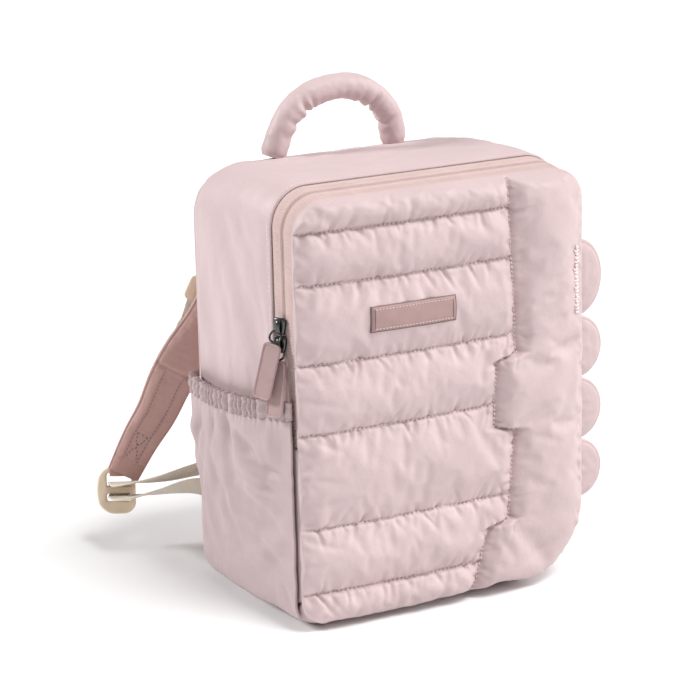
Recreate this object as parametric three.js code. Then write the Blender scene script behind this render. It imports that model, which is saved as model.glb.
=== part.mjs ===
// A child's quilted puffer backpack, standing on its base.
// It is a hollow soft box of cloth panels with a padded, quilted front and a zip round the top of it.
// It has an elasticated side pocket, four padded scallops down one side and a padded carry handle.
// Two padded shoulder straps have webbing, ladder-lock buckles and a chest strap.
//
// Millimetres, +Z up. The bag's front faces -Y and its wearer's side +Y.
// The origin is the middle of the base, on the floor.
import * as THREE from "three";

// The bag's body
const bagWidth = 240;
const bagDepth = 160;
const bagHeight = 316; // at the front seam
const clothWall = 2.4; // two cloths and their lining
const seamGap = 0.3; // between pieces that are sewn together
const topFrontRadius = 26;
const topBackRadius = 40;
const baseLeftRadius = 18;
const baseRightRadius = 60; // at the front
const baseBackRadius = 36; // and at the back
const sideBulge = 5;
const topBulge = 7;
const seamRoll = 14; // how far the cloth rounds over into the front and back seams
const seamLift = 5; // how far those seams stand off the floor
const backRound = 4; // how far the back seam is drawn in

// The front panel
const frontEdge = 3; // thickness where it is sewn
const frontDome = 8; // how far the whole panel stands out
const quiltPuff = 6; // height of a sewn channel
const plainPuff = 8; // height of the unquilted part
const panelRoll = 16; // how far the panel rounds over towards its edge
const plainRoll = 30; // and towards the edge of its unquilted part
const quiltFall = 12; // how far the channels and the plain part round over towards the stepped seam
// The sewn lines across the quilted part, as shares of the panel's height
const quiltLines = [{ up: 0.077 }, { up: 0.233 }, { up: 0.46 }, { up: 0.624 }, { up: 0.809 }, { up: 0.93 }];
// The stepped seam beside them: its heights and places, as shares of the height and of half the width
const steppedSeam = [
  { up: 0.0, across: 0.15 },
  { up: 0.161, across: 0.267 },
  { up: 0.173, across: 0.417 },
  { up: 0.392, across: 0.467 },
  { up: 0.404, across: 0.317 },
  { up: 0.566, across: 0.333 },
  { up: 0.578, across: 0.483 },
  { up: 1.0, across: 0.43 },
];

// The zip
const tapeWidth = 13;
const coilWidth = 3.4;
const tapeThickness = 1.2;
const coilThickness = 2.4;
const zipEndUp = 0.44; // height of the zip's two ends, as a share of the bag's height
const sliderLength = 12;
const sliderWidth = 8.6;
const sliderThickness = 3.8;
const sliderUp = 0.714; // height of the upper slider, as a share of the bag's height
const sliderSpacing = 13;
const ringRadius = 3.6;
const ringWire = 0.9;
const tabLength = 40.5;
const tabWidth = 15;
const tabThickness = 2.2;

// The label patch
const labelWidth = 68;
const labelHeight = 18;
const labelThickness = 1.3;
const labelLeft = 67; // of the bag's middle
const labelUp = 0.724; // height of its middle, as a share of the bag's height

// The side pocket
const pocketCloth = 1.6;
const pocketBulge = 11;
const pocketMouth = 6; // how far its hem stands off the side
const pocketClear = 1.8; // how far its sewn edges stand off the side
const pocketUp = 0.545; // height of its hem at the front, as a share of the bag's height
const pocketBackUp = 0.507; // and at the back
const pocketDip = 3;
const hemHeight = 12.5;
const hemThickness = 2.4;
const gatherHeight = 1.7;
const gathers = 18;

// The scallops
const scallopHeight = 47;
const scallopReach = 22;
const scallopThickness = 9;
const scallopRim = 2.4;
const scallopTopUp = 0.82; // height of the top one's upper end, as a share of the bag's height
const scallops = [{ size: 1.25 }, { size: 1.02 }, { size: 1.02 }, { size: 0.98 }];

// The back panel
const backEdge = 3;
const backPad = 8;

// The carry handle
const handleSpan = 100;
const handleRise = 48;
const handleTube = 20;
const handleAside = 3; // of its middle from the bag's, to the left
const handleFromBack = 14; // of its middle from the back seam

// The shoulder straps
const strapWidth = 44;
const strapMiddleWidth = 37;
const strapEndWidth = 26;
const strapPad = 13;
const strapEndPad = 6;
const strapTopApart = 92; // between the two straps' middles where they are sewn on
const strapEndDown = 12.5; // of the straps' lower ends from the buckles' middles
const strapEndAside = 4; // and how far they lie towards the bag
const strapTopUp = 0.945; // height of their upper ends, as a share of the bag's height
const webbingWidth = 17.5;
const webbingThickness = 1.6;
const webbingBaseUp = 0.165; // height where the webbing is sewn on, as a share of the bag's height
const webbingBaseAside = 0.65; // and its place, as a share of half the bag's width

// The ladder-lock buckles
const buckleWidth = 26;
const buckleLength = 38;
const buckleThickness = 3.6;
const slotWidth = 19.5;
const middleBar = 5.6;
const upperSlot = 10.5;
const lowerSlot = 7;
const buckleOut = 83; // of its middle from the back seam
const buckleAside = 33; // of its middle from the bag's side
const buckleUp = 46; // of its middle from the floor

// The chest strap
const chestWidth = 20;
const chestThickness = 1.5;
const chestUp = 0.66; // height of its ends, as a share of the bag's height
const chestSag = 74;
const claspLength = 30;
const claspWidth = 26;
const claspThickness = 8;
const tagThickness = 3;
const tagWidth = 26;
const tagLength = 20;

const colours = {
  cloth: { color: 0xdcc6c6, roughness: 0.62 },
  leather: { color: 0xbd9c98, roughness: 0.6 },
  silicone: { color: 0xc3a29e, roughness: 0.55 },
  strap: { color: 0xcbb2b0, roughness: 0.65 },
  tape: { color: 0xcfb3b0, roughness: 0.8 },
  webbing: { color: 0xd9cfb8, roughness: 0.9 },
  buckle: { color: 0xc9ab84, roughness: 0.5 },
  metal: { color: 0x2e3430, roughness: 0.3, metalness: 0.9 },
};

const frontSeam = -bagDepth / 2;
const backSeam = bagDepth / 2;
const halfWidth = bagWidth / 2;
const zipDepth = 2 * tapeWidth + coilWidth + 2 * seamGap;
const zipRear = frontSeam + zipDepth;
const zipEnd = bagHeight * zipEndUp;

const bag = new THREE.Group();
const point = (x, y, z) => new THREE.Vector3(x, y, z);
const clamp = (value, low, high) => Math.min(high, Math.max(low, value));
const mix = (a, b, share) => a + (b - a) * share;

// Evenly spaced shares from 0 to 1.
function evenShares(count) {
  return Array.from({ length: count + 1 }, (_, k) => k / count);
}

// Shares from 0 to 1 that lie closer together at both ends.
function easedShares(count) {
  return evenShares(count).map((share) => (1 - Math.cos(Math.PI * share)) / 2);
}

function addPiece(name, geometry, look, place) {
  const mesh = new THREE.Mesh(geometry, new THREE.MeshStandardMaterial(colours[look]));
  mesh.name = name;
  if (place) {
    mesh.applyMatrix4(place);
  }
  bag.add(mesh);
}

// Six times the signed volume inside the triangles.
function signedVolume(positions, triangles) {
  const corner = (index) => new THREE.Vector3().fromArray(positions, index * 3);
  let sum = 0;
  for (let t = 0; t < triangles.length; t += 3) {
    sum += corner(triangles[t]).dot(corner(triangles[t + 1]).cross(corner(triangles[t + 2])));
  }
  return sum;
}

function closedGeometry(positions, triangles) {
  if (signedVolume(positions, triangles) < 0) {
    triangles.reverse();
  }
  const geometry = new THREE.BufferGeometry();
  geometry.setAttribute("position", new THREE.Float32BufferAttribute(positions, 3));
  geometry.setIndex(triangles);
  return geometry;
}

// A sheet between two skins, each a grid of points with the same rows. Wrapped rows close on themselves.
function sheetBetween(outer, inner, wrapped = false) {
  const rows = outer.length;
  const columns = outer[0].length;
  const positions = [outer, inner].flat(2).flatMap((p) => p.toArray());
  const triangles = [];
  const at = (skin, row, column) => (skin * rows + (row % rows)) * columns + column;
  const quad = (a, b, c, d) => triangles.push(a, b, c, a, c, d);
  const bands = wrapped ? rows : rows - 1;
  for (let r = 0; r < bands; r++) {
    for (let c = 0; c < columns - 1; c++) {
      quad(at(0, r, c), at(0, r + 1, c), at(0, r + 1, c + 1), at(0, r, c + 1));
      quad(at(1, r, c), at(1, r, c + 1), at(1, r + 1, c + 1), at(1, r + 1, c));
    }
    quad(at(0, r, 0), at(1, r, 0), at(1, r + 1, 0), at(0, r + 1, 0));
    const last = columns - 1;
    quad(at(0, r, last), at(0, r + 1, last), at(1, r + 1, last), at(1, r, last));
  }
  for (let c = 0; c < columns - 1 && !wrapped; c++) {
    quad(at(0, 0, c), at(0, 0, c + 1), at(1, 0, c + 1), at(1, 0, c));
    quad(at(0, rows - 1, c), at(1, rows - 1, c), at(1, rows - 1, c + 1), at(0, rows - 1, c + 1));
  }
  return closedGeometry(positions, triangles);
}

// A solid swept through rings of points, with flat ends.
function sweptSolid(rings) {
  const sides = rings[0].length;
  const middleOf = (ring) => ring.reduce((sum, p) => sum.add(p), point(0, 0, 0)).divideScalar(sides);
  const ends = [middleOf(rings[0]), middleOf(rings.at(-1))];
  const positions = [...rings.flat(), ...ends].flatMap((p) => p.toArray());
  const triangles = [];
  const at = (ring, side) => ring * sides + (side % sides);
  const firstMiddle = rings.length * sides;
  for (let s = 0; s < sides; s++) {
    for (let r = 0; r < rings.length - 1; r++) {
      triangles.push(at(r, s), at(r + 1, s), at(r + 1, s + 1), at(r, s), at(r + 1, s + 1), at(r, s + 1));
    }
    triangles.push(firstMiddle, at(0, s), at(0, s + 1));
    triangles.push(firstMiddle + 1, at(rings.length - 1, s + 1), at(rings.length - 1, s));
  }
  return closedGeometry(positions, triangles);
}

// The bag's section, a rectangle with round corners

// The section's sizes at a depth: it rounds over into both seams and swells between them.
function sectionAt(y) {
  const share = (y - frontSeam) / bagDepth;
  const puff = Math.sin(Math.PI * clamp((y - zipRear) / (backSeam - zipRear), 0, 1));
  const frontRoll = clamp(1 - (y - frontSeam) / seamRoll, 0, 1) ** 2;
  const backRoll = clamp(1 - (backSeam - y) / seamRoll, 0, 1) ** 2;
  const topRise = topBulge * Math.sin(Math.PI * clamp(share, 0, 1) ** 0.8);
  return {
    half: halfWidth + sideBulge * puff - backRound * backRoll,
    low: seamLift * (frontRoll + backRoll),
    high: bagHeight + topRise - backRound * backRoll,
    topRadius: mix(topFrontRadius, topBackRadius, share),
    rightRadius: mix(baseRightRadius, baseBackRadius, share),
  };
}

// The named stretches of the section: each gives a point and its outward direction at a share of its
// length. Left is -X. The corners turn through a right angle, from below to above.
const stretches = {
  base: (s, t) => {
    const x = mix(baseLeftRadius - s.half, s.half - s.rightRadius, t);
    return { x, z: s.low, out: -Math.PI / 2 };
  },
  baseRight: (s, t) => turn(s.half - s.rightRadius, s.low + s.rightRadius, s.rightRadius, (t - 1) * 0.5),
  right: (s, t) => ({ x: s.half, z: mix(zipEnd, s.low + s.rightRadius, t), out: 0 }),
  zipRight: (s, t) => ({ x: s.half, z: mix(zipEnd, s.high - s.topRadius, t), out: 0 }),
  topRight: (s, t) => turn(s.half - s.topRadius, s.high - s.topRadius, s.topRadius, t * 0.5),
  top: (s, t) => ({ x: mix(s.half - s.topRadius, s.topRadius - s.half, t), z: s.high, out: Math.PI / 2 }),
  topLeft: (s, t) => turn(s.topRadius - s.half, s.high - s.topRadius, s.topRadius, 0.5 + t * 0.5),
  zipLeft: (s, t) => ({ x: -s.half, z: mix(s.high - s.topRadius, zipEnd, t), out: Math.PI }),
  left: (s, t) => ({ x: -s.half, z: mix(zipEnd, s.low + baseLeftRadius, t), out: Math.PI }),
  baseLeft: (s, t) => turn(baseLeftRadius - s.half, s.low + baseLeftRadius, baseLeftRadius, 1 + t * 0.5),
};

// A point on a corner's arc, turned by a share of a half turn from +X towards +Z.
function turn(x, z, radius, halfTurns) {
  const out = Math.PI * halfTurns;
  return { x: x + radius * Math.cos(out), z: z + radius * Math.sin(out), out };
}

// Soft dents and folds in the bag's sides: where each lies, as shares of the depth and height, its half
// sizes along and across, the way it runs in degrees above level, and how deep it is.
const folds = [
  { side: -1, back: 0.5, up: 0.8, along: 46, across: 13, runs: 62, deep: 2.6 },
  { side: -1, back: 0.78, up: 0.66, along: 42, across: 12, runs: 80, deep: 1.8 },
  { side: -1, back: 0.34, up: 0.62, along: 38, across: 10, runs: 84, deep: 2.2 },
  { side: 1, back: 0.55, up: 0.75, along: 44, across: 13, runs: 58, deep: 2.4 },
  { side: 1, back: 0.45, up: 0.35, along: 40, across: 12, runs: 12, deep: 2.4 },
];

// How far the folds draw a point of a side in.
function foldDepth(side, y, z) {
  return folds
    .filter((fold) => fold.side === side)
    .reduce((sum, fold) => {
      const away = y - (frontSeam + fold.back * bagDepth);
      const above = z - fold.up * bagHeight;
      const angle = THREE.MathUtils.degToRad(fold.runs);
      const along = (away * Math.cos(angle) + above * Math.sin(angle)) / fold.along;
      const across = (above * Math.cos(angle) - away * Math.sin(angle)) / fold.across;
      return sum + fold.deep * Math.exp(-along * along - across * across);
    }, 0);
}

// A point of the bag's wall, drawn in by a depth.
function wallPoint(stretch, share, y, inward = 0) {
  const place = stretches[stretch](sectionAt(y), share);
  const fromZip = clamp((y - zipRear) / seamRoll, 0, 1);
  const fromBack = clamp((backSeam - y) / seamRoll, 0, 1);
  const level = Math.abs(Math.cos(place.out));
  const fold = level * fromZip * fromBack * foldDepth(Math.sign(place.x), y, place.z);
  const deep = inward + fold;
  return point(place.x - deep * Math.cos(place.out), y, place.z - deep * Math.sin(place.out));
}

// A wall that follows named stretches of the section, each given with its number of steps.
function wallPiece(route, depths, inset, thickness) {
  const places = route.flatMap(([stretch, steps], k) =>
    evenShares(steps)
      .slice(k ? 1 : 0)
      .map((share) => [stretch, share]),
  );
  const row = (stretch, share, inward) => depths.map((y) => wallPoint(stretch, share, y, inward));
  const skin = (inward) => places.map(([stretch, share]) => row(stretch, share, inward));
  return sheetBetween(skin(inset), skin(inset + thickness));
}

// Depths from one seam to another, closer together where the cloth rolls into a seam.
function wallDepths(from, to, middleSteps) {
  const rolls = [0, 0.35, 0.7];
  const front = from < zipRear ? rolls.map((share) => from + share * seamRoll) : [from];
  const back = rolls.map((share) => to - share * seamRoll).reverse();
  const start = from < zipRear ? from + seamRoll : from;
  const end = to - seamRoll;
  const middle = evenShares(middleSteps).map((share) => mix(start, end, share));
  return [...front.filter((y) => y < start), ...middle, ...back];
}

function makeWalls() {
  const wholeDepth = wallDepths(frontSeam, backSeam, 4);
  const behindZip = wallDepths(zipRear + seamGap, backSeam, 5);
  const over = [
    ["zipRight", 4],
    ["topRight", 4],
    ["top", 6],
    ["topLeft", 4],
    ["zipLeft", 4],
  ];
  addPiece("upper_gusset", wallPiece(over, behindZip, 0, clothWall), "cloth");
  addPiece("side_gusset_left", lowerSide("left"), "cloth");
  addPiece("side_gusset_right", lowerSide("right"), "cloth");
  const under = [
    ["baseLeft", 4],
    ["base", 4],
    ["baseRight", 5],
  ];
  addPiece("base_panel", wallPiece(under, wholeDepth, 0, clothWall), "cloth");

  // A side's lower cloth ends seamGap short of its neighbours above and below.
  function lowerSide(stretch) {
    const skin = (inward) =>
      evenShares(5).map((share) =>
        wholeDepth.map((y) => {
          const s = sectionAt(y);
          const length = zipEnd - s.low - (stretch === "left" ? baseLeftRadius : s.rightRadius);
          return wallPoint(stretch, mix(seamGap, length - seamGap, share) / length, y, inward);
        }),
      );
    return sheetBetween(skin(0), skin(clothWall));
  }
}

// The zip, which lies between the front panel and the gusset
const tapeInset = 1;
const coilInset = tapeInset - (coilThickness - tapeThickness) / 2;
const zipRoute = [
  ["zipRight", 5],
  ["topRight", 5],
  ["top", 6],
  ["topLeft", 5],
  ["zipLeft", 5],
];

function makeZip() {
  const strip = (from, width, inset, thickness) => {
    return wallPiece(zipRoute, [from, from + width], inset, thickness);
  };
  const coilFront = frontSeam + tapeWidth + seamGap;
  const rearFront = coilFront + coilWidth + seamGap;
  addPiece("zip_tape_front", strip(frontSeam, tapeWidth, tapeInset, tapeThickness), "tape");
  addPiece("zip_coil", strip(coilFront, coilWidth, coilInset, coilThickness), "tape");
  addPiece("zip_tape_rear", strip(rearFront, tapeWidth, tapeInset, tapeThickness), "tape");
}

// An outline in the XY plane, made solid by a thickness along +Z, with rounded edges.
function plate(shape, thickness, round) {
  const geometry = new THREE.ExtrudeGeometry(shape, {
    depth: thickness - 2 * round,
    bevelThickness: round,
    bevelSize: round,
    bevelOffset: -round,
    bevelSegments: 1,
    curveSegments: 2,
  });
  return geometry.translate(0, 0, round - thickness / 2);
}

function roundedRectangle(width, height, radius, path = new THREE.Shape()) {
  const x = width / 2;
  const y = height / 2;
  path.moveTo(radius - x, -y);
  path.lineTo(x - radius, -y);
  path.absarc(x - radius, radius - y, radius, -Math.PI / 2, 0);
  path.lineTo(x, y - radius);
  path.absarc(x - radius, y - radius, radius, 0, Math.PI / 2);
  path.lineTo(radius - x, y);
  path.absarc(radius - x, y - radius, radius, Math.PI / 2, Math.PI);
  path.lineTo(-x, radius - y);
  path.absarc(radius - x, radius - y, radius, Math.PI, 1.5 * Math.PI);
  return path;
}

// A place with its own directions: x, y and z are where the piece's own axes point.
function placed(origin, x, y, z) {
  return new THREE.Matrix4().makeBasis(x, y, z).setPosition(origin);
}

function makeSliders() {
  const coilMiddle = frontSeam + tapeWidth + seamGap + coilWidth / 2;
  const outside = coilInset - halfWidth;
  // How each tab hangs: its lean to the rear, its tilt outwards and its turn to the front, in degrees, and
  // how far out its upper end is
  const hangs = [
    { name: "upper", lean: 4, tilt: 12, turned: 26, away: tabThickness + ringWire + 2 * seamGap },
    { name: "lower", lean: -8, tilt: 13, turned: 18, away: 0 },
  ];
  hangs.forEach(({ name, lean, tilt, turned, away }, k) => {
    const height = bagHeight * sliderUp - k * sliderSpacing;
    const toFace = placed(point(0, 0, 0), point(0, -1, 0), point(0, 0, 1), point(-1, 0, 0));
    // The body rides on the coil
    const body = plate(sliderOutline(), sliderThickness, 0.7);
    const bodyFace = outside - seamGap - sliderThickness;
    const bodyPlace = toFace.clone().setPosition(bodyFace + sliderThickness / 2, coilMiddle, height);
    addPiece(`slider_${name}`, body, "metal", bodyPlace);
    // The ring hangs from the slider's lower end
    const ring = new THREE.TorusGeometry(ringRadius, ringWire, 6, 12);
    ring.rotateX(-Math.asin(away / (2 * ringRadius + 2 * ringWire)));
    const ringOut = bodyFace - seamGap - ringWire;
    const ringHeight = height - sliderLength / 2 - ringWire;
    const ringPlace = toFace.clone().setPosition(ringOut - away / 2, coilMiddle, ringHeight);
    addPiece(`pull_ring_${name}`, ring, "metal", ringPlace);
    // The pull tab hangs from the ring
    const tab = plate(roundedRectangle(tabWidth, tabLength, 3.4), tabThickness, 0.6);
    tab.translate(0, -tabLength / 2, 0);
    tab.rotateZ(-THREE.MathUtils.degToRad(lean));
    tab.rotateY(THREE.MathUtils.degToRad(turned));
    tab.rotateX(-THREE.MathUtils.degToRad(tilt));
    const tabTop = ringHeight - ringRadius - ringWire - seamGap;
    const tabPlace = toFace.clone().setPosition(ringOut - away, coilMiddle, tabTop);
    addPiece(`pull_tab_${name}`, tab, "silicone", tabPlace);
  });
}

// A slider from above: wide shoulders at its upper end, narrow at its lower one.
function sliderOutline() {
  const wide = sliderWidth / 2;
  const narrow = wide * 0.6;
  const long = sliderLength / 2;
  const shape = new THREE.Shape();
  shape.moveTo(-narrow, -long);
  shape.lineTo(narrow, -long);
  shape.lineTo(wide, long * 0.2);
  shape.lineTo(wide, long * 0.8);
  shape.lineTo(wide * 0.8, long);
  shape.lineTo(-wide * 0.8, long);
  shape.lineTo(-wide, long * 0.8);
  shape.lineTo(-wide, long * 0.2);
  shape.closePath();
  return shape;
}

// The front panel

const panelLow = seamLift;
const panelHigh = bagHeight;
const panelTall = panelHigh - panelLow;
const panelUp = (share) => panelLow + panelTall * share;

// How far an arc falls back at a reach from where it starts.
const arcInset = (radius, reach) => radius - Math.sqrt(radius * radius - reach * reach);

// How far a round corner draws the panel's edge in at a height.
function cornerInset(z, lowRadius, highRadius) {
  const below = clamp(panelLow + lowRadius - z, 0, lowRadius);
  const above = clamp(z - (panelHigh - highRadius), 0, highRadius);
  return arcInset(lowRadius, below) + arcInset(highRadius, above);
}

const panelLeft = (z) => cornerInset(z, baseLeftRadius, topFrontRadius) - halfWidth;
const panelRight = (z) => halfWidth - cornerInset(z, baseRightRadius, topFrontRadius);

// Where the stepped seam lies at a height.
function seamAcross(z) {
  const up = clamp((z - panelLow) / panelTall, 0, 1);
  const k = clamp(
    steppedSeam.findIndex((place) => place.up > up),
    1,
    steppedSeam.length - 1,
  );
  const low = steppedSeam[up >= 1 ? steppedSeam.length - 2 : k - 1];
  const high = steppedSeam[up >= 1 ? steppedSeam.length - 1 : k];
  return halfWidth * mix(low.across, high.across, (up - low.up) / (high.up - low.up));
}

// A quarter round, from 0 at an edge to 1 at a reach from it.
function roundOver(distance, reach) {
  const left = 1 - clamp(distance / reach, 0, 1);
  return Math.sqrt(1 - left * left);
}

// A softer rise, from 0 at a seam to 1 where the share is 1.
function swell(share) {
  return Math.sin((Math.PI / 2) * clamp(share, 0, 1)) ** 0.8;
}

const channelEnds = [panelLow, ...quiltLines.map((line) => panelUp(line.up)), panelHigh];

// How far the front panel's face stands out from the front seam.
function frontStand(x, z) {
  const upDown = roundOver(Math.max(Math.min(z - panelLow, panelHigh - z), 0), panelRoll);
  const fromLeft = roundOver(Math.max(x - panelLeft(z), 0), panelRoll);
  const fromRight = roundOver(Math.max(panelRight(z) - x, 0), plainRoll);
  const edge = Math.min(upDown, fromLeft, fromRight);
  const dome = frontDome * Math.cos((Math.PI / 2) * clamp(x / halfWidth, -1, 1)) ** 0.6;
  const seam = seamAcross(z);
  if (x > seam) {
    return frontEdge + edge * (dome + plainPuff * swell((x - seam) / quiltFall));
  }
  const k = channelEnds.findIndex((end, n) => n > 0 && z <= end + 1e-6);
  const share = clamp((z - channelEnds[k - 1]) / (channelEnds[k] - channelEnds[k - 1]), 0, 1);
  const channel = Math.sin(Math.PI * share) ** 0.7 * swell((seam - x) / quiltFall);
  return frontEdge + edge * dome + quiltPuff * channel * fromLeft;
}

const frontFace = (x, z) => frontSeam - seamGap - frontStand(x, z);

function makeFrontPanel() {
  const seamHeights = steppedSeam.slice(1, -1).map((place) => panelUp(place.up));
  const channelHeights = channelEnds.slice(1).flatMap((top, k) => {
    const bottom = channelEnds[k];
    return easedShares(4).map((share) => mix(bottom, top, share));
  });
  const closest = panelTall / 250;
  const heights = [...seamHeights, ...channelHeights]
    .sort((a, b) => a - b)
    .filter((z, k, all) => !k || z - all[k - 1] > closest);
  const across = (z) => [
    ...easedShares(7).map((share) => mix(panelLeft(z), seamAcross(z), share)),
    ...easedShares(5)
      .slice(1)
      .map((share) => mix(seamAcross(z), panelRight(z), share)),
  ];
  const face = heights.map((z) => across(z).map((x) => point(x, frontFace(x, z), z)));
  const lining = heights.map((z) =>
    across(z).map((x) => {
      const toEdge = Math.min(x - panelLeft(z), panelRight(z) - x, z - panelLow, panelHigh - z);
      const dome = frontDome * roundOver(Math.max(toEdge, 0), halfWidth) * 0.6;
      return point(x, frontSeam - seamGap - dome, z);
    }),
  );
  addPiece("front_panel", sheetBetween(face, lining), "cloth");
}

function makeLabel() {
  const middle = bagHeight * labelUp;
  const skin = (lift) =>
    evenShares(3).map((up) =>
      evenShares(8).map((share) => {
        const x = labelWidth * share - labelLeft;
        const z = middle + labelHeight * (up - 0.5);
        return point(x, frontFace(x, z) - lift, z);
      }),
    );
  addPiece("label_patch", sheetBetween(skin(seamGap + labelThickness), skin(seamGap)), "leather");
}

// The back panel, a pad that rounds over to the section's outline at the back seam
function backStand(x, z) {
  const s = sectionAt(backSeam);
  const toEdge = Math.min(s.half - Math.abs(x), z - s.low, s.high - z);
  return backEdge + backPad * roundOver(Math.max(toEdge, 0), 2.4 * panelRoll);
}

const backFace = (x, z) => backSeam + seamGap + backStand(x, z);
const backFlat = backSeam + seamGap + backEdge + backPad;

function makeBackPanel() {
  const s = sectionAt(backSeam);
  const arc = evenShares(3);
  const low = arc.map((share) => s.low + s.rightRadius * (1 - Math.cos((share * Math.PI) / 2)));
  const high = arc.map((share) => s.high - s.topRadius * (1 - Math.sin((share * Math.PI) / 2)));
  const middle = evenShares(6)
    .slice(1, -1)
    .map((share) => mix(s.low + s.rightRadius, s.high - s.topRadius, share));
  const heights = [...low, ...middle, ...high];
  const inset = (z, lowRadius) => {
    const below = clamp(s.low + lowRadius - z, 0, lowRadius);
    const above = clamp(z - (s.high - s.topRadius), 0, s.topRadius);
    return arcInset(lowRadius, below) + arcInset(s.topRadius, above);
  };
  const columns = (z, y) =>
    easedShares(8).map((share) => {
      const x = mix(inset(z, baseLeftRadius) - s.half, s.half - inset(z, s.rightRadius), share);
      return point(x, y(x, z), z);
    });
  const face = heights.map((z) => columns(z, backFace));
  const lining = heights.map((z) => columns(z, () => backSeam + seamGap));
  addPiece("back_panel", sheetBetween(face, lining), "cloth");
}

// The side pocket: a cloth that stands off the left side, with a gathered elastic hem

const pocketFront = frontSeam + clothWall;
const pocketBack = backSeam - clothWall;
const pocketLow = baseLeftRadius * 0.6;
const pocketHemTop = (back) => {
  return bagHeight * mix(pocketUp, pocketBackUp, back) - pocketDip * Math.sin(Math.PI * back);
};
const pocketHemLow = (back) => pocketHemTop(back) - hemHeight;

// Folds in the pocket's cloth, in shares of its depth and height.
const pocketFolds = [
  { back: 0.22, up: 0.62, along: 34, across: 7, runs: 6, deep: 3.4 },
  { back: 0.2, up: 0.42, along: 36, across: 8, runs: 14, deep: 3.2 },
  { back: 0.5, up: 0.74, along: 26, across: 8, runs: 82, deep: 2.2 },
  { back: 0.78, up: 0.7, along: 40, across: 9, runs: 100, deep: 2.6 },
  { back: 0.86, up: 0.3, along: 44, across: 10, runs: 68, deep: 2.2 },
];

// How far the pocket stands off the side, at shares of its depth and height.
function pocketStand(back, up) {
  const edges = Math.min(swell(back / 0.35) ** 1.5, roundOver(1 - back, 0.2));
  const belly = pocketBulge * swell(up) ** 2;
  const stand = mix(belly, pocketMouth, clamp(up, 0, 1) ** 4) * edges;
  const tall = bagHeight * pocketUp;
  const dents = pocketFolds.reduce((sum, fold) => {
    const away = (back - fold.back) * bagDepth;
    const above = (up - fold.up) * tall;
    const angle = THREE.MathUtils.degToRad(fold.runs);
    const along = (away * Math.cos(angle) + above * Math.sin(angle)) / fold.along;
    const across = (above * Math.cos(angle) - away * Math.sin(angle)) / fold.across;
    return sum + fold.deep * Math.exp(-along * along - across * across);
  }, 0);
  return pocketClear + Math.max(stand - dents * edges * (1 - up ** 6), 0);
}

// A point on the left side's skin at a depth and height, moved out by a distance. Below the side's straight
// stretch it follows the round of the base.
function leftSkin(y, z, outward) {
  const s = sectionAt(y);
  const below = clamp(s.low + baseLeftRadius - z, 0, baseLeftRadius * 0.98);
  const lean = Math.asin(below / baseLeftRadius);
  const x = baseLeftRadius * (1 - Math.cos(lean)) - s.half;
  return point(x - outward * Math.cos(lean), y, z - outward * Math.sin(lean));
}

function makePocket() {
  const backs = easedShares(12);
  const cloth = (inward) =>
    evenShares(8).map((up) =>
      backs.map((back) => {
        const z = mix(pocketLow, pocketHemLow(back) - seamGap, up);
        const stand = pocketStand(back, up) + pocketCloth - inward;
        return leftSkin(mix(pocketFront, pocketBack, back), z, stand);
      }),
    );
  addPiece("side_pocket", sheetBetween(cloth(0), cloth(pocketCloth)), "cloth");

  const gatherShares = evenShares(gathers * 2);
  const hem = (inward) =>
    evenShares(2).map((up) =>
      gatherShares.map((back, k) => {
        const ruffle = gatherHeight * (k % 2) * Math.min(roundOver(back, 0.08), roundOver(1 - back, 0.08));
        const crown = Math.sin(Math.PI * up) * gatherHeight * 0.6;
        const z = pocketHemLow(back) + hemHeight * up;
        const stand = pocketStand(back, 1) + hemThickness + ruffle + crown;
        return leftSkin(mix(pocketFront, pocketBack, back), z, inward ? pocketStand(back, 1) : stand);
      }),
    );
  addPiece("pocket_hem", sheetBetween(hem(0), hem(1)), "cloth");
}

// Padded half discs that stand out of the right side, in the front panel's seam
function makeScallops() {
  const root = halfWidth + seamGap;
  const middle = frontSeam + seamGap + scallopThickness / 2;
  let top = bagHeight * scallopTopUp;
  scallops.forEach(({ size }, k) => {
    const radius = (scallopHeight * size) / 2;
    const reach = scallopReach;
    const centre = top - radius;
    const turns = evenShares(8).map((share) => Math.sin(THREE.MathUtils.degToRad(mix(-82, 82, share))));
    const skin = (side) =>
      turns.map((rise) =>
        easedShares(4).map((share) => {
          const out = Math.sqrt(1 - rise * rise) * share;
          const round = Math.sqrt(Math.max(1 - out * out - rise * rise, 0));
          const half = scallopRim / 2 + ((scallopThickness - scallopRim) / 2) * round;
          return point(root + reach * out, middle + side * half, centre + radius * rise);
        }),
      );
    addPiece(`scallop_${k + 1}`, sheetBetween(skin(-1), skin(1)), "cloth");
    top -= 2 * radius + seamGap;
  });
}

// A section at each place of a route: a rounded oblong, across wide and deep thick.
function routeRings(route, sizeAt, corners) {
  return route.map(({ at, across, out }, k) => {
    const share = k / (route.length - 1);
    const { wide, thick } = sizeAt(share);
    return corners.map(([a, b]) =>
      at
        .clone()
        .addScaledVector(across, (a * wide) / 2)
        .addScaledVector(out, (b * thick) / 2),
    );
  });
}

// Places along a curve, each with its middle, its width's direction and the direction it faces.
function routeAlong(points, steps, acrossAt) {
  const curve = new THREE.CatmullRomCurve3(points, false, "centripetal");
  return evenShares(steps).map((share) => {
    const along = curve.getTangentAt(share);
    const across = acrossAt(share).clone().addScaledVector(along, -acrossAt(share).dot(along)).normalize();
    return { at: curve.getPointAt(share), across, out: new THREE.Vector3().crossVectors(across, along) };
  });
}

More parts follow.
